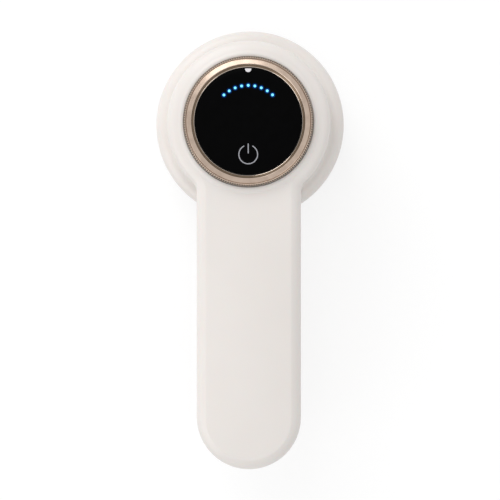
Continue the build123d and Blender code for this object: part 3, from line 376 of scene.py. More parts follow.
broad_foot = broad_radius, pad_face_z - broad_foot_round
flat_across = np.linspace(10.4, pad_flat_radius, 36)[1:]
edge_turn = np.linspace(0, np.pi / 2, 9)[1:]
pad_profile = np.vstack([
    dome(*broad_foot, 26), foot_round(*broad_foot, broad_foot_round),
    np.column_stack([flat_across, np.full(flat_across.shape, pad_face_z)]),
    np.column_stack([pad_flat_radius + pad_edge_round * np.sin(edge_turn),
                     pad_face_z + pad_edge_round * (1 - np.cos(edge_turn))]),
    [[pad_radius, 12.0], [36.42, 12.2], [36.2, 12.3], [33.2, 12.3], [33.0, 12.2], [33.0, 10.0],
     [0, 10.0]],
])
per_nodule, window_half = 32, 12
pad_turns = round_turns(per_nodule * nodule_count, np.radians(90 - 180 / nodule_count))
pad_grid = lathe(pad_profile, pad_turns, pad_centre)
field_inner, field_outer = 20.9, 35.6
ring_low = int(np.argmax(pad_profile[:, 0] * (pad_profile[:, 1] == pad_face_z) > field_inner))
ring_high = int(np.argmax((pad_profile[:, 0] > field_outer) & (pad_profile[:, 1] > pad_face_z)))
flank = np.vstack([foot_round(nodule_radius, nodule_foot_z, nodule_foot_round)[-2::-1],
                   dome(nodule_radius, nodule_foot_z, 22)[::-1]])
nodule_centres = pad_centre + nodule_circle * aims(np.pi / 2 + round_turns(nodule_count))
pad_sheets, pad_windows = [], []
for count, nodule_centre in enumerate(nodule_centres):
    step = per_nodule * count + per_nodule // 2
    pad_windows.append((step - window_half, step + window_half, ring_low, ring_high))
    rows, turns = fan(window(pad_grid, *pad_windows[-1]), nodule_centre,
                      nodule_radius + nodule_foot_round, pad_face)
    pad_sheets.append((np.concatenate([rows, lathe(flank, turns, nodule_centre)], 1), True, ()))
pad_sheets.append((pad_grid, True, pad_windows))

white_silicone = material("white_silicone", (0.74, 0.735, 0.72), 0.52, Subsurface_Weight=0.35,
                          Subsurface_Radius=(1.0, 0.85, 0.7), Subsurface_Scale=0.003,
                          Sheen_Weight=0.15, Sheen_Roughness=0.5)
grain(drift(white_silicone, (0.69, 0.685, 0.67), 9.0), 0.35, 0.02)
piece("silicone_pad", white_silicone, "pad", pad_sheets,
      replaces=["massage_pad"], crease=50)


# Lower shell: the deep half of the glossy ivory ABS case. Its head is a skirt that widens to a
# domed flange and sweeps in to the boss; the handle's trough runs out of it to the tail, where
# the charging port has its recess. Four screws go up through it.
def arc(centre, radius, low, high, count):
    """Points of a circle between two angles in degrees."""
    return np.array(centre) + radius * aims(np.radians(np.linspace(low, high, count)))


boss_radius, handle_half, tail_y, neck_round = 38.3, 24.5, -138.5, 7.0
neck_x = handle_half + neck_round
neck_y = -math.sqrt((boss_radius + neck_round) ** 2 - neck_x ** 2)
neck_turn = math.degrees(math.atan2(neck_y, neck_x))
skirt_foot, flange_edge = (42.0, 16.0), (45.0, 31.0)
dome_radius, head_wall, part_line_z = 5.043, 2.2, 41.0
dome_centre = flange_edge[0] - dome_radius, flange_edge[1]
dome_top = dome_centre[1] + dome_radius
sweep_radius = dome_centre[0] - boss_radius
belly_round, belly_top = 9.0, 34.5
belly_floor = belly_top - belly_round


def outline(station, inset):
    """Point of the case's plan, drawn in by inset, for a station that counts its lengths.

    From 0 to 1 it goes round the boss from the top, to 2 round the neck, to 3 down the side,
    to 4 round half the tail, and from there back up the mirrored side to 8.
    """
    half = np.minimum(station, 8 - station)
    boss = np.radians(90 + (neck_turn - 90) * half)
    neck = np.radians(180 + neck_turn + (half - 1) * -neck_turn)
    tail = np.radians(-90 * (half - 3))
    on = [half < 1, half < 2, half < 3]
    tail_radius = handle_half - inset
    x = np.select(on, [(boss_radius - inset) * np.cos(boss),
                       neck_x + (neck_round + inset) * np.cos(neck),
                       tail_radius + 0 * half], tail_radius * np.cos(tail))
    y = np.select(on, [(boss_radius - inset) * np.sin(boss),
                       neck_y + (neck_round + inset) * np.sin(neck),
                       neck_y + (tail_y - neck_y) * (half - 2) + 0 * inset],
                  tail_y + tail_radius * np.sin(tail))
    return np.stack([np.where(station > 4, -x, x), y], -1)


def smooth(t):
    """Cubic step from 0 to 1 that is flat at both ends."""
    t = np.clip(t, 0, 1)
    return t * t * (3 - 2 * t)


def bridge(edge, radius):
    """Rows across a face from its right edge to the mirror image of that edge.

    By the neck a row sags by the sagitta of a circle of that radius about the head's axis, and
    by the tail by a half circle on the row itself; between them both fade out.
    """
    past = (neck_y - edge[:, None, 1]) / (neck_y - tail_y)
    by_neck, by_tail = smooth(1 - past / 0.35), smooth((past - 0.72) / 0.28)
    x = edge[:, None, 0] * np.cos(np.linspace(0, np.pi, 65))
    end_x = np.abs(edge[:, None, 0])
    radius = np.broadcast_to(radius, len(edge))[:, None]
    sag = np.sqrt(radius ** 2 - x ** 2) - np.sqrt(radius ** 2 - end_x ** 2)
    y = edge[:, None, 1] - by_neck * sag - by_tail * np.sqrt(np.maximum(end_x ** 2 - x ** 2, 0))
    return carry(np.stack([x, y], -1), edge[:, None, 2])


def head_radius(z):
    """Outer radius of the head at a height: the skirt's cone, the dome, the sweep, the boss."""
    rise = (z - skirt_foot[1]) / (flange_edge[1] - skirt_foot[1])
    cone = skirt_foot[0] + (flange_edge[0] - skirt_foot[0]) * rise
    over = dome_centre[0] + np.sqrt(np.maximum(dome_radius ** 2 - (z - dome_centre[1]) ** 2, 0))
    swept = dome_centre[0] - np.sqrt(
        np.maximum(sweep_radius ** 2 - (z - dome_top - sweep_radius) ** 2, 0))
    return np.select([z <= flange_edge[1], z < dome_top, z < dome_top + sweep_radius],
                     [cone, over, swept], boss_radius)


bore_radius, skirt_inner = 36.1, 39.8
head_profile = np.vstack([
    [[skirt_inner, skirt_foot[1]], [41.75, skirt_foot[1]], [41.97, 16.12], [42.04, 16.4]],
    arc(dome_centre, dome_radius, 0, 90, 26),
    arc((dome_centre[0], dome_top + sweep_radius), sweep_radius, 270, 180, 12)[1:],
    [[boss_radius, 40.75], [38.22, 40.93], [38.0, part_line_z], [bore_radius, part_line_z],
     [bore_radius, 33.8]],
    arc(dome_centre, dome_radius - head_wall, 100, 0, 12), [[skirt_inner, skirt_foot[1]]],
])
head_sheet = (lathe(head_profile, round_turns(320)), True, ())

# The trough's rows go down the wall, round the belly's corner and in to the edge of its floor.
round_turn = np.radians(np.linspace(0, 90, 19))
wall_z = [part_line_z, 40.93, 40.75, 39.9, 38.6, 37.7, 37.0, 36.5, 36.2, 36.04, 35.9, 35.6, 35.1]
trough_inset = np.concatenate([
    [0.3, 0.08], np.zeros(len(wall_z) - 2), belly_round * (1 - np.cos(round_turn)),
    [9.8, 10.6, 11.4, 12.2]])
trough_z = np.concatenate([wall_z, belly_top - belly_round * np.sin(round_turn),
                           np.full(4, belly_floor)])
right_stations = np.concatenate([np.linspace(1, 2, 17)[:-1], np.linspace(2, 3, 97)])
half_count = len(right_stations)
stations = np.concatenate([right_stations, np.linspace(3, 5, 65)[1:-1], 8 - right_stations[::-1]])

# Each row starts where the plan at its inset leaves the head, so its stations slide along.
fine = np.linspace(1, 3, 4001)
leaves_head = np.array([
    np.interp(head_radius(z), np.linalg.norm(outline(fine, inset), axis=-1), fine)
    for inset, z in zip(trough_inset, trough_z)])
half_station = np.minimum(stations, 8 - stations)[:, None]
moved = half_station + (leaves_head - 1) * np.clip(1 - (half_station - 1) / 1.25, 0, 1)
trough_station = np.where(stations[:, None] > 4, 8 - moved, moved)
trough = carry(outline(trough_station, trough_inset), trough_z)
floor_rows = bridge(trough[:half_count, -1], head_radius(belly_floor))


def under_face(x, y):
    """Height of the handle's underside over the plan, from its flat floor up its rounding."""
    inset = np.clip(handle_half - np.abs(x), 0, belly_round)
    return belly_top - np.sqrt(belly_round ** 2 - (belly_round - inset) ** 2)


def tail_face(x, z):
    """Place in y of the tail's face, for a place across it and a height.

    It is a half circle about the tail's centre, drawn in by the rounding of the underside.
    """
    drop = np.clip(belly_top - z, 0, belly_round)
    inset = belly_round - np.sqrt(belly_round ** 2 - drop ** 2)
    return tail_y - np.sqrt((handle_half - inset) ** 2 - x ** 2)


def slot_reach(half_width, half_height):
    """Distance from the middle of a round-ended slot to its edge, as a function of angle."""
    middle = half_width - half_height

    def reach(turns):
        c, s = np.abs(np.cos(turns)), np.abs(np.sin(turns))
        straight = c * half_height <= middle * s
        end = middle * c + np.sqrt(np.maximum(half_height ** 2 - (middle * s) ** 2, 0))
        return np.where(straight, half_height / np.maximum(s, 1e-9), end)

    return reach


def nearest(values, wanted):
    """Index of the value nearest to the one wanted."""
    return int(np.argmin(np.abs(np.asarray(values) - wanted)))


# The port's recess steps in from an eased lip, by half width, half height and place in y.
port_centre, port_edge, port_lip = np.array([0.0, 36.23]), (6.6, 3.6), (6.52, 3.52)
port_steps = ((6.5, 3.5, -161.7), (6.4, 3.4, -161.6), (4.95, 2.1, -161.6), (4.77, 1.93, -161.45),
              (4.77, 1.93, -158.9))
tail_x = trough[:, 2, 0] + 100 * (half_station[:, 0] < 3)
port_window = (nearest(tail_x, 9.4), nearest(tail_x, -9.4), 2, nearest(trough_z, 31.4))
rows, turns = fan(window(trough, *port_window), port_centre, slot_reach(*port_edge), tail_face,
                  flat=(0, 2))
plan = port_centre + slot_reach(*port_lip)(turns)[:, None] * aims(turns)
recess = [carry(plan, tail_face(plan[:, 0], plan[:, 1]) + 0.1, (0, 2))]
for half_width, half_height, y in port_steps:
    plan = port_centre + slot_reach(half_width, half_height)(turns)[:, None] * aims(turns)
    recess.append(carry(plan, y, (0, 2)))
trough_windows = [port_window]
trough_sheets = [(np.concatenate([rows, np.stack(recess, 1)], 1), True, ())]

# The screws' counterbores go in from an eased edge, by radius and depth under the face.
screw_places = np.array([(x, y) for x in (17.5, -17.5) for y in (-46.0, -120.0)])
counterbore = ((3.0, 0), (2.93, 0.02), (2.9, 0.1), (2.9, 0.9), (2.9, 2.6))
bore_sheets = []
for screw_centre in screw_places:
    screw_x, screw_y = screw_centre
    first = 0 if screw_x > 0 else len(stations) - half_count
    along = trough[first:first + half_count, len(wall_z) + 12, 1]
    i_pair = sorted(first + nearest(along, screw_y + reach) for reach in (4.4, -4.6))
    hole_window = (*i_pair, nearest(trough_inset[len(wall_z):], 2.6) + len(wall_z),
                   nearest(trough_inset, 11.4))
    rows, turns = fan(window(trough, *hole_window), screw_centre, counterbore[0][0], under_face,
                      rows=8)
    bore = []
    for radius, sunk in counterbore:
        plan = screw_centre + radius * aims(turns)
        bore.append(carry(plan, under_face(plan[:, 0], plan[:, 1]) + sunk))
    trough_windows.append(hole_window)
    trough_sheets.append((rows, True, ()))
    bore_sheets.append((np.stack(bore, 1), True, ()))

piece("lower_case_head", ivory_gloss, "root", [head_sheet])
piece("lower_case_handle", ivory_gloss, "root",
      [(trough, False, trough_windows), (floor_rows, False, ()), *trough_sheets],
      replaces=["lower_shell"], wall=1.8)
piece("screw_bores", ivory_gloss, "root", bore_sheets)

# Battery: one lithium cell in a shrink sleeve, cradled on the shell's ribs. Nickel strips are
# spot-welded to its ends, and two blocks of grey foam under the lid press it down.
cell_sleeve = material("cell_shrink_sleeve", (0.06, 0.16, 0.42), 0.3, Coat_Weight=0.4)
dress(grain(drift(cell_sleeve, (0.05, 0.13, 0.36), 5.0), 0.9, 0.02), "battery_cell")
nickel = material("nickel_strip", (0.62, 0.58, 0.50), 0.26, Metallic=1.0)
dress(grain(drift(nickel, (0.52, 0.48, 0.42), 1.2), 0.2, 0.01, (1, 0.1, 1)), "battery_strips")

grey_foam = material("grey_foam", (0.16, 0.16, 0.165), 0.9)
grain(drift(grey_foam, (0.09, 0.09, 0.095), 0.5), 0.4, 0.12)
foam_low, foam_high = (np.array(corner) * 1000 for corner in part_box("battery_foam"))
cell_z, foam_hollow, foam_length, foam_shoulder_z, foam_top_z = 40.95, 9.3, 10.0, 53.2, 54.25

# A block's section is hollow over the cell and flat under the lid; its ends are pinched in.
foam_x = np.linspace(foam_low[0] + 0.4, foam_high[0] - 0.4, 25)
foam_loop = np.concatenate([
    np.column_stack([foam_x, cell_z + np.sqrt(foam_hollow ** 2 - foam_x ** 2)]),
    [[foam_high[0], foam_shoulder_z], [4.0, foam_top_z], [-4.0, foam_top_z],
     [foam_low[0], foam_shoulder_z]]])
foam_middle = foam_loop.mean(0)
along = np.linspace(0, 1, 13)
pinch = 1 - 0.08 * np.abs(2 * along - 1) ** 6
block = foam_middle + (foam_loop - foam_middle) * pinch[:, None, None]
foam_sheets = []
for foam_start in (foam_low[1], foam_high[1] - foam_length):
    grid = carry(block, (foam_start + foam_length * along)[:, None], (0, 2))
    ends = [np.broadcast_to(grid[e].mean(0), grid[e].shape)[None] for e in (0, -1)]
    foam_sheets.append((np.concatenate([ends[0], grid, ends[1]]).transpose(1, 0, 2), True, ()))
foam = piece("cell_foam_blocks", grey_foam, "root", foam_sheets,
             replaces=["battery_foam"], crease=40)

# Main board: green fibreglass with the charger, the motor driver and the controller on it, and
# the charging socket at its end. Four screws hold it on posts behind the cell.
solder_mask = material("green_solder_mask", (0.02, 0.16, 0.06), 0.32, Coat_Weight=0.5)
mask_tree = solder_mask.node_tree
weave = node(mask_tree, "TexBrick", {
    "Vector": place_of(mask_tree), "Scale": 420.0, "Mortar Size": 0.06,
    "Color1": (0.02, 0.16, 0.06, 1), "Color2": (0.03, 0.20, 0.075, 1),
    "Mortar": (0.045, 0.27, 0.11, 1)})
trace_relief = node(mask_tree, "Bump", {"Height": weave.outputs["Fac"], "Distance": 0.00004})
feed(solder_mask, Base_Color=weave.outputs["Color"], Normal=trace_relief.outputs["Normal"])
dress(solder_mask, "main_board", "display_board")

chip_black = material("chip_black", (0.02, 0.02, 0.021), 0.5)
dress(grain(drift(chip_black, (0.035, 0.035, 0.036), 1.0), 0.12, 0.01), "board_components")
connector_nylon = material("connector_nylon", (0.70, 0.68, 0.62), 0.4, Subsurface_Weight=0.1,
                           Subsurface_Scale=0.001)
dress(grain(drift(connector_nylon, (0.62, 0.60, 0.54), 2.0), 0.25, 0.01), "board_connectors")
socket_steel = material("socket_steel", (0.66, 0.66, 0.67), 0.22, Metallic=1.0)
dress(grain(drift(socket_steel, (0.52, 0.52, 0.54), 1.4), 0.2, 0.006, (1, 0.15, 1)), "usb_socket")
tongue_black = material("socket_tongue", (0.015, 0.015, 0.016), 0.42)
dress(grain(drift(tongue_black, (0.03, 0.03, 0.03), 0.8), 0.1, 0.006), "usb_tongue")

# Wiring inside the case: the motor's red pair beside the cell, the cell's own short pair, and
# the flat orange cable that drops from the display to the board.
lead_red = material("lead_insulation", (0.50, 0.03, 0.03), 0.38, Coat_Weight=0.2)
dress(grain(drift(lead_red, (0.40, 0.02, 0.02), 1.5), 0.3, 0.01), "motor_leads", "battery_leads")
flex_orange = material("flat_cable", (0.55, 0.24, 0.05), 0.3, Coat_Weight=0.3)
conductors = (1, 0.02, 1)
dress(grain(drift(flex_orange, (0.34, 0.12, 0.03), 0.5, conductors), 0.5, 0.02, conductors),
      "display_cable")

# Display module: a black cup under the glass with a round board, nine lamps, a shade that keeps
# their light apart, clear pipes that carry it up, and a foam pad for the touch key. The knob's
# encoder hangs beside it, with a gear that meshes with the dial's.
cup_black = material("display_cup", (0.02, 0.02, 0.021), 0.5)
dress(grain(drift(cup_black, (0.035, 0.034, 0.034), 3.0), 0.25, 0.012),
      "display_base", "encoder_body")
shade_black = material("lamp_shade", (0.012, 0.012, 0.012), 0.7)
dress(grain(drift(shade_black, (0.022, 0.022, 0.022), 1.5), 0.2, 0.02), "led_shade")
lamp_white = material("lamp_bodies", (0.72, 0.70, 0.60), 0.35)
dress(grain(drift(lamp_white, (0.66, 0.60, 0.42), 0.5), 0.15, 0.005), "level_leds")
pipe_clear = material("light_pipes", (0.80, 0.90, 0.95), 0.12, Transmission_Weight=0.85,
                      IOR=1.49)
dress(grain(drift(pipe_clear, (0.72, 0.86, 0.95), 1.0), 0.3, 0.003, polish=0.04), "light_pipes")
touch_foam = material("conductive_foam", (0.10, 0.10, 0.105), 0.85)
dress(grain(drift(touch_foam, (0.06, 0.06, 0.065), 0.5), 0.3, 0.06), "touch_contact")
gear_nylon = material("gear_nylon", (0.66, 0.65, 0.61), 0.42)
dress(grain(drift(gear_nylon, (0.58, 0.57, 0.53), 3.0), 0.3, 0.01), "dial_carrier", "encoder_gear")
brass = material("encoder_brass", (0.60, 0.44, 0.18), 0.26, Metallic=1.0)
dress(grain(drift(brass, (0.50, 0.35, 0.14), 1.0), 0.2, 0.006, (1, 1, 6)), "encoder_shaft")

# Upper shell: the lid of the case, in the same polished ivory ABS. A broad rounded band runs
# round boss and handle and meets the face in a soft crease. The face is open under the dial,
# has a low collar round it, and falls away a little to the handle's edges.
band, face_z = 4.6, 56.5
lift = np.linspace(0, 1, 15)[:, None]
band_curve = ((1 - lift) ** 3 * [0, 51.2] + 3 * lift * (1 - lift) ** 2 * [0, 54.3]
              + 3 * lift ** 2 * (1 - lift) * [1.55, 55.62] + lift ** 3 * [band, face_z])
face_inset = boss_radius - 27.5
lid_profile = np.vstack([
    [[0.3, part_line_z], [0.08, 41.07], [0, 41.25], [0, 44.0], [0, 47.5], [0, 50.0]],
    band_curve[:-1],
    np.array([band, face_z]) + [[-0.18, -0.048], [-0.04, -0.018], [0.12, -0.006], [0.35, 0]],
    np.column_stack([np.linspace(5.2, face_inset, 44), np.full(44, face_z)]),
])
lid_steps = 96, 64, 80, 32
half_lid = np.concatenate([part + np.linspace(0, 1, count, endpoint=False)
                           for part, count in enumerate(lid_steps)] + [[4]])
lid_station = np.concatenate([half_lid, 8 - half_lid[-2:0:-1]])
lid = carry(outline(lid_station[:, None], lid_profile[:, 0]), lid_profile[:, 1])

face_edge = lid[lid_steps[0]:sum(lid_steps[:3]) + 1, -1]
face_radius = np.minimum(np.hypot(face_edge[:, 0], face_edge[:, 1]),
                         math.hypot(handle_half - face_inset, neck_y))
collar_inner, collar_outer = 30.4, 33.9


def crowned(grid, fall=2.2, collar=0.8):
    """The face falls away with the square of the distance from the handle's middle line.

    Past the tail's centre that distance is counted from the centre. The fall fades in over
    60 mm from the neck, and fades out down 11 mm of the wall. Round the dial the face rises to
    a low collar, steep inside and gentle outside.
    """
    x, y, z = np.moveaxis(grid, -1, 0)
    off = np.hypot(x, np.minimum(y - tail_y, 0)) / handle_half
    share = smooth((-26 - y) / 60) * smooth((z - 44) / 11)
    out = np.hypot(x, y)
    rise = smooth((collar_outer - out) / 2.6) * smooth((out - collar_inner) / 0.26)
    rise = rise * (z > face_z - 0.1)
    return np.stack([x, y, z + collar * rise - fall * share * off ** 2], -1)


piece("upper_case", ivory_gloss, "root",
      [(crowned(lid), True, ()), (crowned(bridge(face_edge, face_radius)), False, ())],
      replaces=["upper_shell"], wall=2.0, crease=40)


# Dial: a turned ring of zinc, plated rose gold, glued onto the nylon carrier under it. Its crown
# is satin over an inner bezel whose dark tone is a painted dark reflection, a fine groove parts it
# from the rim, and the rim and its bevel are finely fluted so that a wet thumb can turn it, with
# painted shade laid into the flutes' hollows.
def bevel(radius):
    """Height of the rim's bevel: a straight slope down from the rim's top edge."""
    return rim_top[1] - 0.98 * (radius - rim_top[0])


# The bezel's dark tone past the lip is a painted dark reflection, standing in for dark
# surroundings mirrored in the inward slope; the lip keeps the plate's own lighter tone.
bezel_painted_dark_reflection, bezel_roughness, lip_tone, lip_gloss = (0.17, 0.12, 0.08), 0.28, (0.62, 0.52, 0.44), 0.12
bezel_plate = material("bezel_plate_painted_dark_reflection", bezel_painted_dark_reflection, bezel_roughness, Metallic=1.0)
grain(bezel_plate, 0.3, 0.004, (1, 1, 0.1))
bezel_tree = bezel_plate.node_tree
from_axis = node(bezel_tree, "VectorMath", {0: place_of(bezel_tree, (1000, 1000, 0))},
                 operation="LENGTH").outputs["Value"]
past_lip = span(bezel_tree, from_axis, 25.44, 25.52)
feed(bezel_plate, Base_Color=blend(bezel_tree, past_lip, (*lip_tone, 1), (*bezel_painted_dark_reflection, 1)),
     Roughness=span(bezel_tree, past_lip, 0, 1, lip_gloss, bezel_roughness))
bezel_profile = eased([(25.08, 59.4), (25.08, 59.45), (25.45, 59.65), (26.3, 60.4), (26.45, 60.2),
                       (27.2, 59.6), (27.2, 59.4)], [0.02, 0.02, 0.04, 0.06, 0.05, 0.05, 0.05])
piece("dial_bezel", bezel_plate, "dial",
      [(lathe(bezel_profile, round_turns(384)), True, ())], crease=38)

rose_gold = material("rose_gold_plate", (0.51, 0.405, 0.33), 0.22, Metallic=1.0)
grain(drift(rose_gold, (0.43, 0.335, 0.27), 5.0, (1, 1, 0.2)), 0.5, 0.002, polish=0.04)
crown_outer = eased(
    [(27.25, 57.2), (29.32, 57.2), (29.32, 60.0), (29.02, 60.03), (28.98, 60.45), (28.86, 60.66),
     (28.7, 60.735)], [0.1, 0.1, 0.05, 0.05, 0.1, 0.08, 0.1], closed=False)
crown_inner = eased(
    [(26.75, 60.97), (26.52, 60.8), (26.24, 60.42), (26.3, 60.2), (27.25, 59.6), (27.25, 57.2)],
    [0.1, 0.12, 0.1, 0.08, 0.1, 0.1], closed=False)
crown_slope = np.linspace((28.66, 60.74), (26.78, 61.0), 11)
crown_profile = np.vstack([crown_outer[:-1], crown_slope, crown_inner[1:]])
piece("dial_crown", rose_gold, "dial",
      [(lathe(crown_profile, round_turns(384)), True, ())], crease=38)

# The rim's darkest tone is painted shade: near-black laid into the hollows of the flutes, where
# shade falls.
rim_side, rim_bevel, rim_painted_groove_shade = (0.50, 0.40, 0.32), (0.62, 0.50, 0.41), (0.035, 0.024, 0.016)
rim_plate = material("fluted_rim_plate", rim_side, 0.3, Metallic=1.0)
grain(rim_plate, 0.4, 0.002, polish=0.04)
rim_tree = rim_plate.node_tree
rim_height = node(rim_tree, "SeparateXYZ", {0: place_of(rim_tree, (1000, 1000, 1000))})
on_bevel = span(rim_tree, rim_height.outputs["Z"], 59.5, 59.8)
rim_tone = blend(rim_tree, on_bevel, (*rim_side, 1), (*rim_bevel, 1))
painted_groove_shade_share = node(rim_tree, "Attribute", attribute_name="valley").outputs["Fac"]
feed(rim_plate, Base_Color=blend(rim_tree, painted_groove_shade_share, rim_tone, (*rim_painted_groove_shade, 1)))

flutes, flute_depth, rim_reach = 168, 0.24, 30.35
rim_inner, rim_top, rim_foot_z = 29.25, (29.42, 60.72), 56.82
rim_turns = round_turns(flutes * 8)
fluted = rim_reach - flute_depth * np.abs(np.sin(rim_turns * flutes / 2)) ** 1.4
rim_rows = [(rim_inner, 57.15), (rim_inner, 60.5), (29.33, 60.7), rim_top]
for share in (0.35, 0.7, 1.0):
    radius = rim_top[0] + (fluted - rim_top[0]) * share
    rim_rows.append((radius, bevel(radius)))
for drop in (0.3, 0.8, 2.0, 2.6):
    rim_rows.append((fluted, bevel(fluted) - drop))
rim_rows += [(fluted - 0.25, rim_foot_z), (rim_inner, rim_foot_z), rim_rows[0]]
rim_grid = np.stack([carry(np.reshape(radius, (-1, 1)) * aims(rim_turns), z)
                     for radius, z in rim_rows], 1)
rim = piece("dial_rim", rim_plate, "dial", [(rim_grid, True, ())],
            replaces=["dial_ring"], crease=38)

# This attribute is painted shade in the flutes: how deep a point lies in its flute, from the sine
# that cuts them, made a share of the near-black tone and faded out towards the rim's inner edge.
spots = np.empty(len(rim.data.vertices) * 3)
rim.data.vertices.foreach_get("co", spots)
spots = spots.reshape(-1, 3) * 1000
valley = np.abs(np.sin(np.arctan2(spots[:, 1], spots[:, 0]) * flutes / 2))
valley = 0.92 * smooth((valley - 0.25) / 0.3)
valley *= smooth((np.hypot(spots[:, 0], spots[:, 1]) - 29.35) / 0.2)
painted_groove_shade_layer = rim.data.attributes.new("valley", "FLOAT", "POINT")
painted_groove_shade_layer.data.foreach_set("value", valley.astype(np.float32))


# Glass: a disc of dark tinted glass with a bevelled edge that closes the display. Nine lamps in
# an arc show the level through it with a deep blue glow; a power mark is printed over the
# touch key with a faint painted glow, and a white mark at the rim is what the dial is set against.
def maths(tree, operation, *values):
    """The output of a Math node over values or other nodes' outputs, in their order."""
    return node(tree, "Math", dict(enumerate(values)), operation=operation).outputs[0]


glass_top = 60.0
lamp_circle, lamp_span, lamp_count = 16.65, 42.8, 9
dark_glass = material("dark_glass", (0.0018, 0.0018, 0.0018), 0.06, Specular_IOR_Level=0.02,
                      IOR=1.25, Coat_Roughness=0.04, Emission_Color=(0.0, 0.12, 0.62, 1))
drift(dark_glass, (0.0028, 0.0028, 0.003), 3.85, sharp=1.0)

# Each point of the glass finds its nearest lamp by snapping its angle to the lamps' step, and
# glows by its distance from there. The coat shows only aslant, so that it stays black face on.
glass_tree = dark_glass.node_tree
spot = node(glass_tree, "SeparateXYZ", {0: place_of(glass_tree, (1000, 1000, 1000))}).outputs
turn = maths(glass_tree, "ARCTAN2", spot["X"], spot["Y"])
lamp_step = math.radians(2 * lamp_span / (lamp_count - 1))
whole = maths(glass_tree, "SNAP", maths(glass_tree, "ADD", turn, lamp_step / 2), lamp_step)
held = node(glass_tree, "Clamp", {"Value": whole, "Min": -math.radians(lamp_span),
                                  "Max": math.radians(lamp_span)}).outputs[0]
lamp_aim = maths(glass_tree, "SINE", held), maths(glass_tree, "COSINE", held)
far_x, far_y = (maths(glass_tree, "MULTIPLY_ADD", aim, -lamp_circle, spot[axis])
                for aim, axis in zip(lamp_aim, "XY"))
apart = node(glass_tree, "CombineXYZ", {"X": far_x, "Y": far_y}).outputs[0]
apart = node(glass_tree, "VectorMath", {0: apart}, operation="LENGTH").outputs["Value"]
glow = maths(glass_tree, "POWER", span(glass_tree, apart, 0.5, 1.5, 1.0, 0.0), 1.8)
slant = node(glass_tree, "LayerWeight", {"Blend": 0.5}).outputs["Facing"]
feed(dark_glass, Emission_Strength=maths(glass_tree, "MULTIPLY", glow, 0.8),
     Coat_Weight=span(glass_tree, slant, 0.12, 0.7, 0.0, 0.55))

glass_profile = np.array([(0, 58.0), (24.7, 58.0), (24.85, 58.15), (24.85, 59.72), (24.8, 59.86),
                          (24.62, 59.98), (24.5, glass_top), (20, glass_top), (12, glass_top),
                          (0, glass_top)])
piece("display_disc", dark_glass, "root",
      [(lathe(glass_profile, round_turns(256)), True, ())], replaces=["display_glass"])


def inlay(path, normal, half_width, height=0.03):
    """Thin mark on the glass: a flat oval section, as wide as given, carried along a path."""
    t = np.linspace(0, 2 * np.pi, 17)[:-1]
    flat = path[None] + normal[None] * (half_width[None] * np.cos(t)[:, None])[..., None]
    return carry(flat, glass_top + 0.005 + height * np.sin(t)[:, None] * np.ones(len(path)))


def blunt(along, half_width):
    """Half width for lengths along a mark: even, and a quarter circle down to each end."""
    room = np.clip(np.minimum(along, along[-1] - along) / half_width, 0, 1)
    return half_width * np.sqrt(1 - (1 - room) ** 2)


# The print also carries a faint painted glow: a weak emission that lifts it against the black
# glass, with no lamp behind it.
mark_print_painted_glow = material("mark_print_painted_glow", (0.26, 0.26, 0.28), 0.5, Emission_Strength=0.08,
                      Emission_Color=(0.55, 0.56, 0.62, 1))
grain(drift(mark_print_painted_glow, (0.27, 0.27, 0.30), 1.2), 0.2, 0.002)
mark_y, mark_radius = -15.45, 4.36
sweep = np.radians(np.linspace(114, 426, 97))
ring_mark = inlay([0.0, mark_y] + mark_radius * aims(sweep), aims(sweep),
                  blunt(mark_radius * (sweep - sweep[0]), 0.24))
bar_y = np.linspace(0.4, 5.1, 41)
bar_mark = inlay(np.column_stack([0 * bar_y, mark_y + bar_y]),
                 np.tile([1.0, 0.0], (len(bar_y), 1)), blunt(bar_y - bar_y[0], 0.25))
piece("power_mark", mark_print_painted_glow, "root",
      [(ring_mark, True, ()), (bar_mark, True, ())])

index_white = material("index_mark", (0.76, 0.74, 0.76), 0.4)
grain(drift(index_white, (0.70, 0.68, 0.70), 1.0), 0.2, 0.002)
index_y, index_radius, index_limit = 24.3, 1.45, 24.55
index_x = index_radius * np.sin(np.linspace(-np.pi / 2, np.pi / 2, 33))
index_half = np.sqrt(index_radius ** 2 - index_x ** 2)
index_low = index_y - index_half
index_high = np.minimum(index_y + index_half, np.sqrt(index_limit ** 2 - index_x ** 2))
index_high = np.maximum(index_high, index_low)
index_line = np.column_stack([index_x, (index_low + index_high) / 2])
piece("index_mark", index_white, "root",
      [(inlay(index_line, np.tile([0.0, 1.0], (len(index_x), 1)), (index_high - index_low) / 2),
        True, ())])

lit_lamp = material("lit_lamps", (0.10, 0.35, 0.45), 0.3, Emission_Strength=1.0,
                    Emission_Color=(0.16, 0.72, 1.0, 1))
grain(drift(lit_lamp, (0.08, 0.3, 0.4), 0.4), 0.2, 0.002)
dot_profile = np.array([(0.0, 60.05), (0.36, 60.045), (0.54, 60.03), (0.62, 60.0),
                        (0.58, 59.97), (0, 59.97)])
lamp_turns = np.radians(90 + np.linspace(-lamp_span, lamp_span, lamp_count))
lamp_places = lamp_circle * aims(lamp_turns)
piece("level_dots", lit_lamp, "root",
      [(lathe(dot_profile, round_turns(32), place), True, ()) for place in lamp_places],
      crease=60)

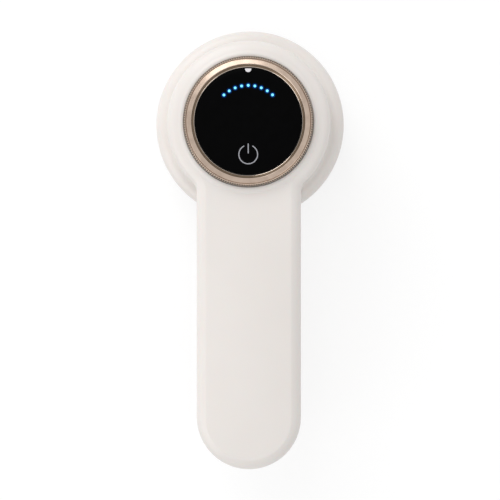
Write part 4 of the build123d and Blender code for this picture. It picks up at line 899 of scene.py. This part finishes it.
# Screw plugs: four soft rubber caps pushed into the counterbores of the case screws, shaped
# flush with the handle's rounded underside. They also keep it from sliding on a table.
plug_rubber = material("plug_rubber", (0.62, 0.60, 0.56), 0.6, Subsurface_Weight=0.1,
                       Subsurface_Scale=0.001)
grain(drift(plug_rubber, (0.55, 0.53, 0.49), 1.5), 0.2, 0.015)
plug_reach = np.concatenate([np.linspace(0, 2.6, 14), [2.74, 2.8, 2.82, 2.82, 0]])
plug_sunk = 0.05 + np.concatenate([np.zeros(14), [0.03, 0.12, 0.3, 2.3, 2.3]])
plug_sheets = []
for screw_centre in screw_places:
    plan = screw_centre + plug_reach[:, None] * aims(round_turns(64))[:, None]
    plug_sheets.append((carry(plan, under_face(plan[..., 0], plan[..., 1]) + plug_sunk), True, ()))
piece("screw_plug_caps", plug_rubber, "root", plug_sheets, replaces=["screw_plugs"])


# Studio: a pale floor that shows white and keeps the shadow, broad soft lamps from the upper and
# lower left, two small ones, and an even white room. The floor rides on the pad, which is what
# stands on it, so that a released pad stays in view.
def seen_ray(tree):
    """1 on rays from the camera and on those that metal or glass has sent on, and else 0."""
    rays = node(tree, "LightPath").outputs
    seen = maths(tree, "MAXIMUM", rays["Is Camera Ray"], rays["Is Glossy Ray"])
    return maths(tree, "MAXIMUM", seen, rays["Is Transmission Ray"])


def soft_lamp(name, place, aim_at, size, watts):
    """Square lamp at a place in metres, turned to face a point."""
    data = bpy.data.lights.new(name, "AREA")
    data.size, data.energy = size, watts
    lamp = bpy.data.objects.new(name, data)
    lamp.location = place
    lamp.rotation_euler = (Vector(aim_at) - Vector(place)).to_track_quat("-Z", "Y").to_euler()
    bpy.context.scene.collection.objects.link(lamp)


half_floor = 6.0
floor_corners = [(-1, -1, 0), (1, -1, 0), (1, 1, 0), (-1, 1, 0)]
floor_mesh = bpy.data.meshes.new("studio_floor")
floor_mesh.from_pydata(half_floor * np.array(floor_corners), [], [(0, 1, 2, 3)])
studio_floor = bpy.data.objects.new("studio_floor", floor_mesh)
bpy.context.scene.collection.objects.link(studio_floor)
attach(studio_floor, "pad")
floor_paper = material("floor_paper", (0.80, 0.80, 0.80), 0.9, Specular_IOR_Level=0.0,
                       Emission_Color=(1, 1, 1, 1))
paper_tree = floor_paper.node_tree
seen = seen_ray(paper_tree)
away = node(paper_tree, "VectorMath", {0: place_of(paper_tree)},
            operation="LENGTH").outputs["Value"]
feed(floor_paper, Base_Color=blend(paper_tree, seen, (0.80, 0.80, 0.80, 1), (0.28, 0.28, 0.28, 1)),
     Emission_Strength=maths(paper_tree, "MULTIPLY", seen,
                             span(paper_tree, away, 0.4, 1.8, 0.74, 1.0)))
floor_mesh.materials.append(floor_paper)

soft_lamp("key_lamp", (-0.40, 0.75, 0.62), (0, 0.0, 0.04), 0.6, 3.8)
soft_lamp("top_lamp", (-0.12, 0.36, 0.95), (0, 0.02, 0.06), 0.3, 0.65)
soft_lamp("low_lamp", (-0.80, -0.60, 0.50), (0, -0.08, 0.04), 0.7, 2.3)
soft_lamp("side_lamp", (0.60, -0.55, 0.9), (0, -0.08, 0.04), 0.4, 0.8)

world = bpy.data.worlds.new("white_room")
world.use_nodes = True
bpy.context.scene.world = world
room = world.node_tree
backdrop = room.nodes["Background"].inputs
backdrop["Color"].default_value = (1, 1, 1, 1)
room.links.new(span(room, seen_ray(room), 0, 1, 0.69, 1.0), backdrop["Strength"])

camera_data = bpy.data.cameras.new("camera")
camera_data.lens, camera_data.sensor_width = 137.4, 36.0
camera_data.clip_start, camera_data.clip_end = 0.05, 20.0
camera = bpy.data.objects.new("camera", camera_data)
camera.location = (0.0256, -0.0599, 0.947)
camera.rotation_euler = (0, math.radians(1.6), 0)
bpy.context.scene.collection.objects.link(camera)
bpy.context.scene.camera = camera
bpy.context.scene.view_settings.view_transform = "Standard"
